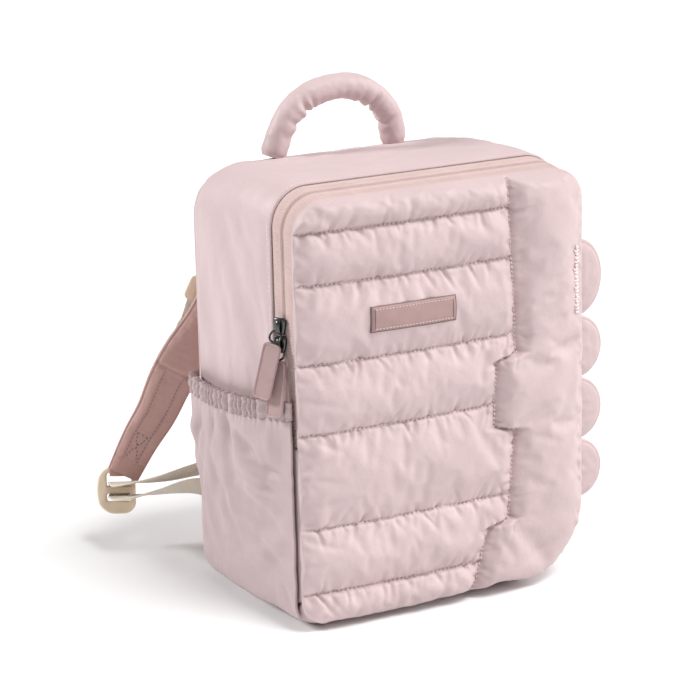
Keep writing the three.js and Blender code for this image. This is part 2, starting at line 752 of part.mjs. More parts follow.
const roundCorners = evenShares(10)
  .slice(0, -1)
  .map((share) => [Math.cos(2 * Math.PI * share), Math.sin(2 * Math.PI * share)]);
const padCorners = [
  [-1, 0],
  [-0.86, 0.62],
  [-0.52, 1],
  [0, 0.9],
  [0.52, 1],
  [0.86, 0.62],
  [1, 0],
  [0.86, -0.62],
  [0.52, -1],
  [0, -0.9],
  [-0.52, -1],
  [-0.86, -0.62],
];
const flatCorners = [
  [-1, -1],
  [1, -1],
  [1, 1],
  [-1, 1],
];

function makeHandle() {
  const y = backSeam - handleFromBack;
  const foot = sectionAt(y).high + seamGap;
  const half = handleSpan / 2;
  const shape = [
    { across: -1, up: 0 },
    { across: -0.98, up: 0.3 },
    { across: -0.88, up: 0.62 },
    { across: -0.47, up: 0.91 },
    { across: 0.04, up: 1 },
    { across: 0.52, up: 0.89 },
    { across: 0.87, up: 0.56 },
    { across: 0.97, up: 0.28 },
    { across: 1, up: 0 },
  ];
  const points = shape.map(({ across, up }) => {
    return point(half * across - handleAside, y, foot + handleRise * up);
  });
  const route = routeAlong(points, 22, () => point(0, 1, 0));
  const ends = [route[0], route.at(-1)];
  ends.forEach((end, k) => end.out.set(k ? 1 : -1, 0, 0));
  const size = () => ({ wide: handleTube, thick: handleTube });
  addPiece("carry_handle", sweptSolid(routeRings(route, size, roundCorners)), "cloth");
}

// The straps, webbing and buckles are worked out for the left side and mirrored for the right.

const buckleMiddle = point(-(halfWidth + buckleAside), backSeam + buckleOut, buckleUp);
const buckleAcross = point(0.87, -0.49, 0).normalize();
const towardBag = point(-0.47, -0.84, 0.27).normalize(); // the way the buckle's near face looks
const buckleDown = new THREE.Vector3().crossVectors(buckleAcross, towardBag).normalize();
towardBag.crossVectors(buckleDown, buckleAcross);

// A place given in the buckle's own directions: down it, and towards the bag.
function atBuckle(down, near) {
  return buckleMiddle.clone().addScaledVector(buckleDown, down).addScaledVector(towardBag, near);
}

const strapTop = point(-strapTopApart / 2, 0, bagHeight * strapTopUp);
const strapRoute = [
  { aside: 0.0, out: 0.0, down: 0.0 },
  { aside: 0.08, out: 0.02, down: 0.08 },
  { aside: 0.24, out: 0.07, down: 0.24 },
  { aside: 0.37, out: 0.16, down: 0.4 },
  { aside: 0.46, out: 0.28, down: 0.49 },
  { aside: 0.58, out: 0.44, down: 0.58 },
  { aside: 0.67, out: 0.6, down: 0.67 },
  { aside: 0.76, out: 0.78, down: 0.79 },
  { aside: 0.87, out: 0.89, down: 0.88 },
];

// The mirror image of a piece's rings, in X.
function mirrored(rings) {
  return rings.map((ring) => ring.map((p) => point(-p.x, p.y, p.z)));
}

function addPair(name, rings, look) {
  addPiece(`${name}_left`, sweptSolid(rings), look);
  addPiece(`${name}_right`, sweptSolid(mirrored(rings)), look);
}

const padNear = buckleThickness / 2 + 2 * webbingThickness - seamGap + strapEndPad / 2;

function strapPlaces() {
  const start = strapTop.clone();
  start.y = backFlat + seamGap + strapPad / 2;
  const end = atBuckle(-strapEndDown, padNear).addScaledVector(buckleAcross, strapEndAside);
  const points = strapRoute.map(({ aside, out, down }) =>
    point(mix(start.x, end.x, aside), mix(start.y, end.y, out), mix(start.z, end.z, down)),
  );
  points.push(end);
  const acrossAt = (share) => point(1, 0, 0).lerp(buckleAcross, clamp(share / 0.5, 0, 1)).normalize();
  return routeAlong(points, 18, acrossAt);
}

// The straps narrow below their upper third, and again towards their lower ends.
function strapWideAt(share) {
  const upper = mix(strapWidth, strapMiddleWidth, clamp(share / 0.4, 0, 1));
  return mix(upper, strapEndWidth, clamp((share - 0.6) / 0.4, 0, 1) ** 1.2);
}

const strapSize = (share) => ({
  wide: strapWideAt(share),
  thick: mix(strapPad, strapEndPad, clamp((share - 0.8) / 0.2, 0, 1)),
});

function makeStraps() {
  const places = strapPlaces();
  addPair("shoulder_strap", routeRings(places, strapSize, padCorners), "strap");
}

// The webbing is sewn to the back panel's lower corner and turns round the buckle's middle bar. Its tail
// comes back towards the bag.
const webbingRoute = [
  { aside: 0.46, out: 0.16, up: 7 },
  { aside: 0.62, out: 0.45, up: 4 },
  { aside: 0.76, out: 0.68, up: -1 },
];
const tailRoute = [
  { aside: 0.76, out: 0.7, up: 5 },
  { aside: 0.62, out: 0.54, up: 11 },
  { aside: 0.46, out: 0.36, up: 17 },
  { aside: 0.28, out: 0.28, up: 19 },
];
// The way the webbing's width points along its run: upright where it is sewn, level by the buckle
const webbingTurns = [
  { along: 0, x: 0, y: 0, z: 1 },
  { along: 0.12, x: -0.2, y: -0.15, z: 0.97 },
  { along: 0.28, x: -0.72, y: -0.54, z: 0.45 },
  { along: 0.4, x: -0.8, y: -0.6, z: 0.05 },
  { along: 0.47, x: -0.87, y: 0.49, z: 0 },
  { along: 0.61, x: -0.87, y: 0.49, z: 0 },
  { along: 0.68, x: -0.8, y: -0.6, z: 0.05 },
  { along: 0.8, x: -0.74, y: -0.56, z: 0.35 },
  { along: 1, x: -0.55, y: -0.4, z: 0.75 },
];

function makeWebbing() {
  const x = -halfWidth * webbingBaseAside;
  const root = point(x, backFlat + seamGap + webbingThickness / 2, bagHeight * webbingBaseUp);
  const between = ({ aside, out, up }) => {
    const z = mix(root.z, buckleMiddle.z, out) + up;
    return point(mix(root.x, buckleMiddle.x, aside), mix(root.y, buckleMiddle.y, out), z);
  };
  const turnRadius = middleBar / 2 + webbingThickness + 1.2;
  const loop = evenShares(6).map((share) => {
    const angle = Math.PI * share;
    return atBuckle(turnRadius * Math.cos(angle), -turnRadius * Math.sin(angle) * 0.9);
  });
  const approach = [10, 3].map((off) => atBuckle(turnRadius, buckleThickness / 2 + off));
  const leave = [3, 10].map((off) => atBuckle(-turnRadius, buckleThickness / 2 + off));
  const sewn = root.clone().add(point(-14, 0.2, 0));
  const run = [root, sewn, ...webbingRoute.map(between)];
  const tail = tailRoute.map(between);
  const points = [...run, ...approach, ...loop, ...leave, ...tail];
  const acrossAt = (share) => {
    const k = Math.max(
      1,
      webbingTurns.findIndex(({ along }) => along >= share),
    );
    const [from, to] = [webbingTurns[k - 1], webbingTurns[k]];
    const step = (share - from.along) / (to.along - from.along);
    return point(from.x, from.y, from.z).lerp(point(to.x, to.y, to.z), step).normalize();
  };
  const route = routeAlong(points, 52, acrossAt);
  const size = () => ({ wide: webbingWidth, thick: webbingThickness });
  addPair("strap_webbing", routeRings(route, size, flatCorners), "webbing");
}

// The ladder-lock: a round-ended plate with two slots, and a loop that ties its top bar to the strap
function makeBuckles() {
  const shape = roundedRectangle(buckleWidth, buckleLength, buckleWidth * 0.36);
  const slot = (middle, height) => {
    const hole = roundedRectangle(slotWidth, height, 1.6, new THREE.Path());
    const points = hole.getPoints(1).map((p) => new THREE.Vector2(p.x, p.y + middle));
    return new THREE.Path(points);
  };
  shape.holes.push(slot((middleBar + upperSlot) / 2, upperSlot));
  shape.holes.push(slot(-(middleBar + lowerSlot) / 2, lowerSlot));
  const frame = plate(shape, buckleThickness, 0.8);
  const up = buckleDown.clone().negate();
  addPiece("buckle_left", frame, "buckle", placed(buckleMiddle, buckleAcross, up, towardBag));
  const flip = (v) => point(-v.x, v.y, v.z);
  const right = placed(flip(buckleMiddle), flip(buckleAcross).negate(), flip(up), flip(towardBag));
  addPiece("buckle_right", frame.clone(), "buckle", right);
  makeBuckleLoops();
}

function makeBuckleLoops() {
  const barTop = -buckleLength / 2;
  const barBottom = -(middleBar / 2 + upperSlot);
  const middle = (barTop + barBottom) / 2;
  const reachDown = (barBottom - barTop) / 2 + webbingThickness / 2 + 1;
  const reachOut = buckleThickness / 2 + webbingThickness / 2 + seamGap + 0.5;
  const ring = (grow) =>
    evenShares(16)
      .slice(0, -1)
      .map((share) => {
        const angle = 2 * Math.PI * share;
        const squared = (v, reach) => Math.sign(v) * Math.abs(v) ** 0.5 * (reach + grow);
        return [squared(Math.cos(angle), reachDown), squared(Math.sin(angle), reachOut)];
      })
      .map(([down, near]) => [-0.5, 0.5].map((side) => [side * (webbingWidth - 3), middle + down, near]));
  const skin = (grow, mirror) =>
    ring(grow).map((row) =>
      row.map(([a, down, near]) => {
        const p = atBuckle(down, near).addScaledVector(buckleAcross, a);
        return mirror ? point(-p.x, p.y, p.z) : p;
      }),
    );
  const half = webbingThickness / 2;
  addPiece("buckle_loop_left", sheetBetween(skin(half, false), skin(-half, false), true), "strap");
  addPiece("buckle_loop_right", sheetBetween(skin(half, true), skin(-half, true), true), "strap");
}

// The chest strap hangs between two tags on the shoulder straps, and its clasp is fastened at the middle
function makeChestStrap() {
  const places = strapPlaces();
  const height = bagHeight * chestUp;
  const k = places.findIndex(({ at }) => at.z < height);
  const { at, across, out } = places[k];
  const facing = out.y > 0 ? out.clone() : out.clone().negate();
  const up = new THREE.Vector3().crossVectors(across, facing).normalize();
  up.multiplyScalar(Math.sign(up.z));
  const tagOut = strapPad / 2 + 3 * seamGap + tagThickness / 2;
  const tagMiddle = at.clone().addScaledVector(facing, tagOut).addScaledVector(across, -tagWidth * 0.5);
  const tag = plate(roundedRectangle(tagWidth, tagLength, 4), tagThickness, 0.7);
  const frame = placed(tagMiddle, across, new THREE.Vector3().crossVectors(facing, across), facing);
  addPiece("chest_tag_left", tag, "buckle", frame);
  const flip = (v) => point(-v.x, v.y, v.z);
  const acrossRight = flip(across).negate();
  const faceRight = flip(facing);
  const upRight = new THREE.Vector3().crossVectors(faceRight, acrossRight);
  const placeRight = placed(flip(tagMiddle), acrossRight, upRight, faceRight);
  addPiece("chest_tag_right", tag.clone(), "buckle", placeRight);

  // The webbing leaves the tag's face, hangs down and runs to the clasp
  const leave = tagMiddle.clone().addScaledVector(facing, tagThickness / 2 + seamGap + chestThickness / 2);
  const low = leave.z - chestSag;
  const claspEnd = point(-claspLength / 2 - 3 * seamGap, leave.y + 34, low);
  const points = [
    leave.clone().addScaledVector(up, tagLength * 0.3),
    leave,
    leave.clone().add(point(-2, 15, -chestSag * 0.36)),
    leave.clone().add(point(-3, 26, -chestSag * 0.56)),
    leave.clone().add(point(14, 33, -chestSag * 0.8)),
    point(mix(leave.x, 0, 0.5), leave.y + 35, low + chestSag * 0.04),
    claspEnd,
  ];
  const acrossAt = (share) => {
    const turned = clamp((share - 0.25) * 3, 0, 1);
    return across.clone().lerp(point(0, -1, -0.3), turned).normalize();
  };
  const route = routeAlong(points, 18, acrossAt);
  const size = () => ({ wide: chestWidth, thick: chestThickness });
  addPair("chest_webbing", routeRings(route, size, flatCorners), "webbing");

  // The fastened clasp: a socket and the plug whose prongs it holds
  const last = route.at(-1);
  const claspUp = new THREE.Vector3().crossVectors(point(1, 0, 0), last.across).normalize();
  const half = plate(roundedRectangle(claspLength / 2 - seamGap, claspWidth, 4), claspThickness, 1.4);
  const quarter = claspLength / 4 + seamGap / 2;
  ["socket", "plug"].forEach((name, side) => {
    const middle = point((side ? 1 : -1) * quarter, last.at.y, last.at.z);
    addPiece(`chest_${name}`, half.clone(), "buckle", placed(middle, point(1, 0, 0), last.across, claspUp));
  });
}

makeWalls();
makeZip();
makeSliders();
makeFrontPanel();
makeLabel();
makeBackPanel();
makePocket();
makeScallops();
makeHandle();
makeStraps();
makeWebbing();
makeBuckles();
makeChestStrap();

export default bag;
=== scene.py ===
"""A child's quilted puffer backpack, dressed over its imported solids.

Sizes are in millimetres, as in the solids' source, and turn into metres where a mesh is made.
"""
from math import asin, hypot, pi, radians

import bmesh
import bpy
import numpy as np
from mathutils import Matrix, Vector
from numpy import array, concatenate, cos, cross, exp, linspace, maximum, minimum, sin, sqrt, stack


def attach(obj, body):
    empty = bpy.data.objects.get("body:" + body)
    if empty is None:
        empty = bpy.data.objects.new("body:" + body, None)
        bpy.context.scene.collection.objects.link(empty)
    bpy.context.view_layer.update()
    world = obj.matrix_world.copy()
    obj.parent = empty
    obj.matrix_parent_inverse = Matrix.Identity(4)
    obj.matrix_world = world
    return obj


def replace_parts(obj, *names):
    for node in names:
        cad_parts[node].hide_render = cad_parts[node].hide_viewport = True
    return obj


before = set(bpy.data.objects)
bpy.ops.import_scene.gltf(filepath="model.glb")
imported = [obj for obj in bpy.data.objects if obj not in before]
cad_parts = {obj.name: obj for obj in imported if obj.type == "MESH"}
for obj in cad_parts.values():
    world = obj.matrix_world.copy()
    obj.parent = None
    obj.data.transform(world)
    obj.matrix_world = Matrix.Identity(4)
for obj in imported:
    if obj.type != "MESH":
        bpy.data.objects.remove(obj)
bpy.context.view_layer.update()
scene = bpy.context.scene
MM = 0.001

# The bag's sizes, as in its solids
WIDTH, DEPTH, HEIGHT = 240, 160, 316
HALF, FRONT, BACK = WIDTH / 2, -DEPTH / 2, DEPTH / 2
WALL, GAP = 2.4, 0.3
TOP_FRONT, TOP_BACK = 26, 40
BASE_LEFT, BASE_RIGHT, BASE_BACK = 18, 60, 36
SIDE_BULGE, TOP_BULGE = 5, 7
SEAM_ROLL, SEAM_LIFT, BACK_ROUND = 14, 5, 4
TAPE, COIL = 13, 3.4
ZIP_REAR = FRONT + 2 * TAPE + COIL + 2 * GAP
ZIP_END = HEIGHT * 0.44
PANEL_LOW, PANEL_HIGH = SEAM_LIFT, HEIGHT
PANEL_TALL = PANEL_HIGH - PANEL_LOW

# Colours, linear
CLOTH = (0.58, 0.445, 0.45)
# The straps' cloth is the bag's cloth made darker and more saturated: painted shade, for straps that sit in the bag's
# shadow
STRAP_SHADED_CLOTH = (0.49, 0.30, 0.27)
TAPE_CLOTH = (0.56, 0.40, 0.375)
LEATHER = (0.385, 0.25, 0.24)
RUBBER = (0.40, 0.27, 0.265)
WEBBING = (0.72, 0.65, 0.55)
BUCKLE = (0.79, 0.65, 0.49)
THREAD = (0.80, 0.66, 0.65)
GUNMETAL = (0.10, 0.105, 0.10)


def clamp(value, low=0.0, high=1.0):
    return np.clip(value, low, high)


def mix(a, b, share):
    return a + (b - a) * share


def smooth(share):
    share = clamp(share)
    return share * share * (3 - 2 * share)


def bell(away, wide, power=2):
    """A soft peak that is 1 at no distance and falls off over this width."""
    return exp(-np.abs(away / wide) ** power)


def xyz(x, y, z):
    return stack(np.broadcast_arrays(x, y, z), -1)


def unit(v):
    v = np.asarray(v, float)
    return v / maximum(np.linalg.norm(v, axis=-1, keepdims=True), 1e-12)


def ripple(places, length, seed, waves=14):
    """A smooth random height from -1 to 1 at each place, with bumps about one length across."""
    rng = np.random.default_rng(seed)
    total = np.zeros(places.shape[:-1])
    for _ in range(waves):
        way = unit(rng.normal(size=3)) * (2 * pi / length) * rng.uniform(0.55, 1.5)
        total += sin(places @ way + rng.uniform(0, 2 * pi))
    return total / sqrt(waves) / 1.4


# ---- materials


def surface(name, colour, spread, patches, layers, **values):
    """A material: a colour that varies softly by a share, and bump layers of a height, a strength and a distance."""
    material = bpy.data.materials.new(name)
    material.use_nodes = True
    tree = material.node_tree

    def put(node, **inputs):
        for key, value in inputs.items():
            socket = node.inputs.get(key.replace("_", " "))
            if socket is None:
                setattr(node, key, value)
            elif isinstance(value, bpy.types.NodeSocket):
                tree.links.new(value, socket)
            else:
                socket.default_value = value
        return node

    def add(kind, **inputs):
        return put(tree.nodes.new("ShaderNode" + kind), **inputs)

    place = add("TexCoord").outputs
    noise = add("TexNoise", Vector=place["Object"], Scale=patches, Detail=3)
    ramp = add("ValToRGB", Fac=noise.outputs["Fac"])
    for end, position, factor in zip(ramp.color_ramp.elements, (0.3, 0.7), (1 - spread, 1 + spread * 0.7)):
        end.position = position
        end.color = (*[min(c * factor, 1) for c in colour], 1)
    normal = {}
    for height, strength, distance in layers(add, place["Object"], place["UV"]):
        bump = add("Bump", Height=height, Strength=strength, Distance=distance, **normal)
        normal = {"Normal": bump.outputs["Normal"]}
    put(tree.nodes["Principled BSDF"], Base_Color=ramp.outputs["Color"], **normal, **values)
    return material


def fabric(name, colour, rough=0.52, pitch=0.0007, crinkle=0.55):
    def layers(add, at, uv):
        soft = add("TexNoise", Vector=at, Scale=110, Detail=4, Roughness=0.6)
        grain = add("TexNoise", Vector=at, Scale=0.7 / pitch, Detail=1)
        return (soft.outputs["Fac"], crinkle, 0.0012), (grain.outputs["Fac"], 0.12, 0.0001)

    return surface(name, colour, 0.04, 22, layers, Roughness=rough, Sheen_Weight=0.2, Sheen_Roughness=0.4,
                   Sheen_Tint=(1.0, 0.93, 0.92, 1), Specular_IOR_Level=0.45)


def ribbed(name, colour, pitch, cross_pitch, depth, rough=0.7):
    """Cloth with ribs across its length, which runs along U. The pitches and the depth are in metres."""
    def layers(add, at, uv):
        height = add("Math", operation="MULTIPLY")
        for socket, direction, size in zip(height.inputs, "XY", (pitch, cross_pitch)):
            wave = add("TexWave", Vector=uv, Scale=2 * pi / (20 * size), Distortion=0.4, Detail=0,
                       bands_direction=direction)
            height.id_data.links.new(wave.outputs["Fac"], socket)
        return [(height.outputs[0], 0.7, depth)]

    return surface(name, colour, 0.06, 60, layers, Roughness=rough, Sheen_Weight=0.25, Specular_IOR_Level=0.25)


def hide(name, colour):
    def layers(add, at, uv):
        return [(add("TexVoronoi", Vector=at, Scale=900).outputs["Distance"], 0.35, 0.0002)]

    return surface(name, colour, 0.07, 90, layers, Roughness=0.5, Specular_IOR_Level=0.4)


def moulded(name, colour, rough=0.7, metal=0.0):
    def layers(add, at, uv):
        return [(add("TexNoise", Vector=at, Scale=600, Detail=2).outputs["Fac"], 0.2, 0.00012)]

    return surface(name, colour, 0.05, 120, layers, Roughness=rough, Metallic=metal)


def shade(colour, factor):
    return [min(c * factor, 0.95) for c in colour]


cloth = fabric("puffer_cloth", CLOTH)
# The pocket and its hem use the bag's cloth made darker: painted shade, as if the pocket faced down, away from the
# light
pocket_shaded_cloth = fabric("pocket_shaded_cloth", shade(CLOTH, 0.82), crinkle=0.6)
# The straps and their ties take that darker strap colour, which is painted shade
strap_cloth = fabric("strap_cloth", STRAP_SHADED_CLOTH, rough=0.65, pitch=0.0009)
tape_cloth = ribbed("zip_tape", TAPE_CLOTH, 0.0022, 0.0132, 0.0006)
coil_cloth = ribbed("zip_coil", shade(TAPE_CLOTH, 0.86), 0.0013, 0.0078, 0.00025, rough=0.5)
leather = hide("label_leather", LEATHER)
# The label's dark rim is painted shade for the shadow along its folded edges
shaded_label_rim = hide("label_rim_shade", shade(LEATHER, 0.5))
rubber = moulded("pull_rubber", RUBBER, rough=0.5)
webbing_cloth = ribbed("webbing", WEBBING, 0.0011, 0.0022, 0.0004)
buckle_plastic = moulded("buckle_plastic", BUCKLE, rough=0.38)
gunmetal = moulded("zip_metal", GUNMETAL, rough=0.3, metal=1.0)
thread = moulded("thread", THREAD)
pale_thread = moulded("pale_thread", shade(THREAD, 1.15))
# The straps' thread is taken from the darker strap colour, so it carries the same painted shade
strap_shaded_thread = moulded("strap_shaded_thread", shade(STRAP_SHADED_CLOTH, 0.55))
dark_thread = moulded("leather_thread", shade(THREAD, 0.85))
bar_thread = moulded("bar_thread", shade(LEATHER, 0.5))


# ---- meshes


def grid_faces(rows, columns, wrap_rows=False, wrap_columns=False):
    r, c = np.meshgrid(np.arange(rows - (not wrap_rows)), np.arange(columns - (not wrap_columns)), indexing="ij")
    r, c = r.ravel(), c.ravel()
    at = lambda i, j: (i % rows) * columns + (j % columns)
    return stack([at(r, c), at(r + 1, c), at(r + 1, c + 1), at(r, c + 1)], 1)


def added(name, mesh, material):
    """A mesh as a piece of the bag."""
    mesh.materials.clear()
    mesh.materials.append(material)
    mesh.polygons.foreach_set("use_smooth", [True] * len(mesh.polygons))
    piece = bpy.data.objects.new(name, mesh)
    scene.collection.objects.link(piece)
    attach(piece, "root")
    return piece


def make(name, points, faces, material, uv=None):
    """A piece from points in millimetres. uv has one pair for each point, in metres."""
    mesh = bpy.data.meshes.new(name)
    mesh.from_pydata((np.asarray(points, float).reshape(-1, 3) * MM).tolist(), [], [list(map(int, f)) for f in faces])
    if uv is not None:
        layer = mesh.uv_layers.new(name="UVMap")
        corners = np.zeros(len(mesh.loops), np.int32)
        mesh.loops.foreach_get("vertex_index", corners)
        layer.data.foreach_set("uv", np.asarray(uv, float).reshape(-1, 2)[corners].ravel())
    mesh.update()
    mesh.validate()
    return added(name, mesh, material)


def outward(piece):
    """Turns a closed piece's faces outwards."""
    work = bmesh.new()
    work.from_mesh(piece.data)
    bmesh.ops.recalc_face_normals(work, faces=work.faces)
    work.to_mesh(piece.data)
    work.free()
    return piece


def lengths(points):
    """The running length along a list of points."""
    return concatenate([[0], np.cumsum(np.linalg.norm(np.diff(points, axis=0), axis=1))])


def pairs(first, second):
    """U and V in metres for a grid, from the running lengths of its rows and columns."""
    return stack(np.broadcast_arrays(first[:, None] * MM, second[None, :] * MM), -1).reshape(-1, 2)


def sheet_piece(name, outer, inner, material):
    """A closed sheet between two skins of points."""
    rows, columns = outer.shape[:2]
    count = rows * columns
    skin = grid_faces(rows, columns)
    faces = [skin, skin[:, ::-1] + count]
    r, c = np.arange(rows - 1) * columns, np.arange(columns - 1)
    for first, step, flip in ((r, columns, -1), (r + columns - 1, columns, 1), (c, 1, 1), (c + count - columns, 1, -1)):
        faces.append(stack([first, first + step, first + step + count, first + count], 1)[:, ::flip])
    uv = pairs(lengths(outer[:, columns // 2]), lengths(outer[rows // 2]))
    points = concatenate([outer.reshape(-1, 3), inner.reshape(-1, 3)])
    return outward(make(name, points, concatenate(faces), material, concatenate([uv, uv])))


def tube_piece(name, rings, material):
    """A closed solid swept through rings of points, with flat ends."""
    count, sides = rings.shape[:2]
    faces = grid_faces(count, sides, wrap_columns=True).tolist()
    faces.append(list(range(sides)))
    faces.append([(count - 1) * sides + s for s in reversed(range(sides))])
    middle = rings[count // 2]
    uv = pairs(lengths(rings.mean(1)), lengths(concatenate([middle, middle[:1]]))[:-1])
    return outward(make(name, rings, faces, material, uv))


def curve_through(controls, count):
    """Evenly spaced points along a centripetal curve through the controls."""
    p = array(controls, float)
    p = concatenate([[2 * p[0] - p[1]], p, [2 * p[-1] - p[-2]]])
    dense = []
    for k in range(1, len(p) - 2):
        q = p[k - 1:k + 3]
        knots = concatenate([[0], np.cumsum(np.linalg.norm(np.diff(q, axis=0), axis=1) ** 0.5)])
        t = linspace(knots[1], knots[2], 24, endpoint=False)[:, None]
        for spans in (((0, 1), (1, 2), (2, 3)), ((0, 2), (1, 3)), ((1, 2),)):
            q = [mix(a, b, (t - knots[i]) / (knots[j] - knots[i])) for a, b, (i, j) in zip(q[:-1], q[1:], spans)]
        dense.append(q[0])
    return even(concatenate([*dense, p[-2:-1]]), count)


def even(points, count):
    """The same line with this many evenly spaced points."""
    run = lengths(points)
    want = linspace(0, run[-1], count)
    return stack([np.interp(want, run, points[:, k]) for k in range(points.shape[1])], 1)


def stitch_row(name, line, normal, pitch=3.2, long=2.3, thick=0.42, lift=0.1, slant=0.0, material=None):
    """Stitches along a line that lies on a surface with these normals."""
    line, normal = np.asarray(line, float), unit(np.broadcast_to(np.asarray(normal, float), np.shape(line)))
    run = lengths(line)
    count = max(int(run[-1] / pitch), 1)
    middle = (np.arange(count) + 0.5) * run[-1] / count
    at = lambda s, field: stack([np.interp(s, run, field[:, k]) for k in range(3)], 1)
    centre, up = at(middle, line), unit(at(middle, normal))
    ahead = unit(at(middle + 0.5, line) - at(middle - 0.5, line))
    ahead = unit(ahead + slant * unit(cross(up, ahead)))
    side = unit(cross(up, ahead))
    turns = np.arange(6) * pi / 3
    spots = [(-0.5, 0.35, -0.5), (-0.3, 0.95, 0.05), (0.0, 1.0, 0.25), (0.3, 0.95, 0.05), (0.5, 0.35, -0.5)]
    rings = []
    for along, size, rise in spots:
        spot = centre + ahead * (along * long) + up * (lift + rise * thick)
        rings.append(stack([spot + (side * cos(a) + up * sin(a)) * (thick * size) for a in turns], 1))
    one = grid_faces(len(spots), 6, wrap_columns=True)
    faces = concatenate([one + k * len(spots) * 6 for k in range(count)])
    return make(name, stack(rings, 1), faces, material or thread)


# ---- the bag's section


def section(y):
    """Half the width, the low and high edges, and the radii of the top and the right base at a depth."""
    share = (y - FRONT) / DEPTH
    puff = sin(pi * clamp((y - ZIP_REAR) / (BACK - ZIP_REAR)))
    front_roll, back_roll = [clamp(1 - away / SEAM_ROLL) ** 2 for away in (y - FRONT, BACK - y)]
    half = HALF + SIDE_BULGE * puff - BACK_ROUND * back_roll
    low = SEAM_LIFT * (front_roll + back_roll)
    high = HEIGHT + TOP_BULGE * sin(pi * clamp(share) ** 0.8) - BACK_ROUND * back_roll
    return half, low, high, mix(TOP_FRONT, TOP_BACK, share), mix(BASE_RIGHT, BASE_BACK, share)


# The stretches of the section, anticlockwise from the base, and about how long each is
LENGTHS = {"base": 165, "baseRight": 75, "right": 90, "zipRight": 145, "topRight": 52, "top": 170,
           "topLeft": 52, "zipLeft": 145, "left": 118, "baseLeft": 28}
OVER = ["zipRight", "topRight", "top", "topLeft", "zipLeft"]


def around(stretch, t, y):
    """X, Z and the outward angle at a share of a named stretch of the section."""
    half, low, high, top, right = section(y)
    x, z, radius, turns = {
        "base": (mix(BASE_LEFT - half, half - right, t), low, 0, -0.5),
        "baseRight": (half - right, low + right, right, (t - 1) * 0.5),
        "right": (half, mix(low + right, ZIP_END, t), 0, 0),
        "zipRight": (half, mix(ZIP_END, high - top, t), 0, 0),
        "topRight": (half - top, high - top, top, t * 0.5),
        "top": (mix(half - top, top - half, t), high, 0, 0.5),
        "topLeft": (top - half, high - top, top, 0.5 + t * 0.5),
        "zipLeft": (-half, mix(high - top, ZIP_END, t), 0, 1),
        "left": (-half, mix(ZIP_END, low + BASE_LEFT, t), 0, 1),
        "baseLeft": (BASE_LEFT - half, low + BASE_LEFT, BASE_LEFT, 1 + t * 0.5),
    }[stretch]
    return x + radius * cos(pi * turns), z + radius * sin(pi * turns), pi * turns


# Soft dents and folds, as in the solids, with finer ones beside them: where each lies as shares of the depth and
# height, its half sizes along and across, the way it runs in degrees and how deep it is
LEFT_FOLDS = [
    (0.5, 0.8, 46, 13, 62, 2.6), (0.78, 0.66, 42, 12, 80, 1.8), (0.34, 0.62, 38, 10, 84, 2.2),
    (0.42, 0.9, 26, 6, 50, 1.3), (0.62, 0.72, 34, 6, 68, 1.1), (0.3, 0.74, 26, 5, 82, 1.0),
    (0.9, 0.82, 26, 7, 96, 1.0), (0.26, 0.585, 16, 4.5, 58, 1.2), (0.4, 0.56, 15, 4, 74, 1.1),
    (0.56, 0.56, 17, 4, 92, 1.1), (0.72, 0.555, 16, 4.5, 104, 1.0)]
RIGHT_FOLDS = [
    (0.55, 0.75, 44, 13, 58, 2.4), (0.45, 0.35, 40, 12, 12, 2.4), (0.7, 0.5, 34, 6, 70, 1.2),
    (0.35, 0.6, 30, 6, 105, 1.1)]


def dents(folds, across, up, wide=1, tall=1, sharp=2.0):
    """The depth of folds whose middles are shares of a width and a height. Sharper folds have a lower power."""
    total = 0 * (across + up)
    for middle, level, half_long, half_wide, runs, deep in folds:
        angle = radians(runs)
        p, q = across - middle * wide, up - level * tall
        a = (p * cos(angle) + q * sin(angle)) / half_long
        b = (q * cos(angle) - p * sin(angle)) / half_wide
        total = total + deep * exp(-a * a - np.abs(b) ** sharp)
    return total


def wall_relief(x, y, z, out):
    near = clamp((y - ZIP_REAR) / SEAM_ROLL) * clamp((BACK - y) / SEAM_ROLL)
    folds = [dents(side, y - FRONT, z, DEPTH, HEIGHT) for side in (LEFT_FOLDS, RIGHT_FOLDS)]
    places = xyz(x, y, z)
    soft = 0.9 * ripple(places, 70, 3) + 0.45 * ripple(places * [1, 1.2, 0.8], 28, 5)
    return near * (np.abs(cos(out)) * np.where(x < 0, *folds) + soft)


def wall_grid(stretches, depths, inset=0.0, step=2.4, ends=(0, 1), relief=True):
    grid = []
    for k, name in enumerate(stretches):
        shares = linspace(0, 1, max(int(LENGTHS[name] / step), 3) + 1)[1 if k else 0:]
        for share in clamp(shares, *ends):
            x, z, out = [np.broadcast_to(v, depths.shape) for v in around(name, share, depths)]
            deep = inset + (wall_relief(x, depths, z, out) if relief else 0)
            grid.append(xyz(x - deep * cos(out), depths, z - deep * sin(out)))
    return array(grid)


def round_over(distance, reach):
    left = 1 - clamp(distance / reach)
    return sqrt(1 - left * left)


def rolled(grid, reach=3.0, deep=1.3):
    """Rolls a wall's first and last rows in, towards the seams it is sewn into."""
    inward = -unit(cross(np.gradient(grid, axis=0), np.gradient(grid, axis=1)))
    facing = np.sum(inward * ([0, 0, HEIGHT / 2] - grid) * [1, 0, 1], -1, keepdims=True)
    run = lengths(grid[:, grid.shape[1] // 2])
    amount = deep * (1 - round_over(minimum(run, run[-1] - run), reach))
    return grid + inward * np.where(facing < 0, -1, 1) * amount[:, None, None]


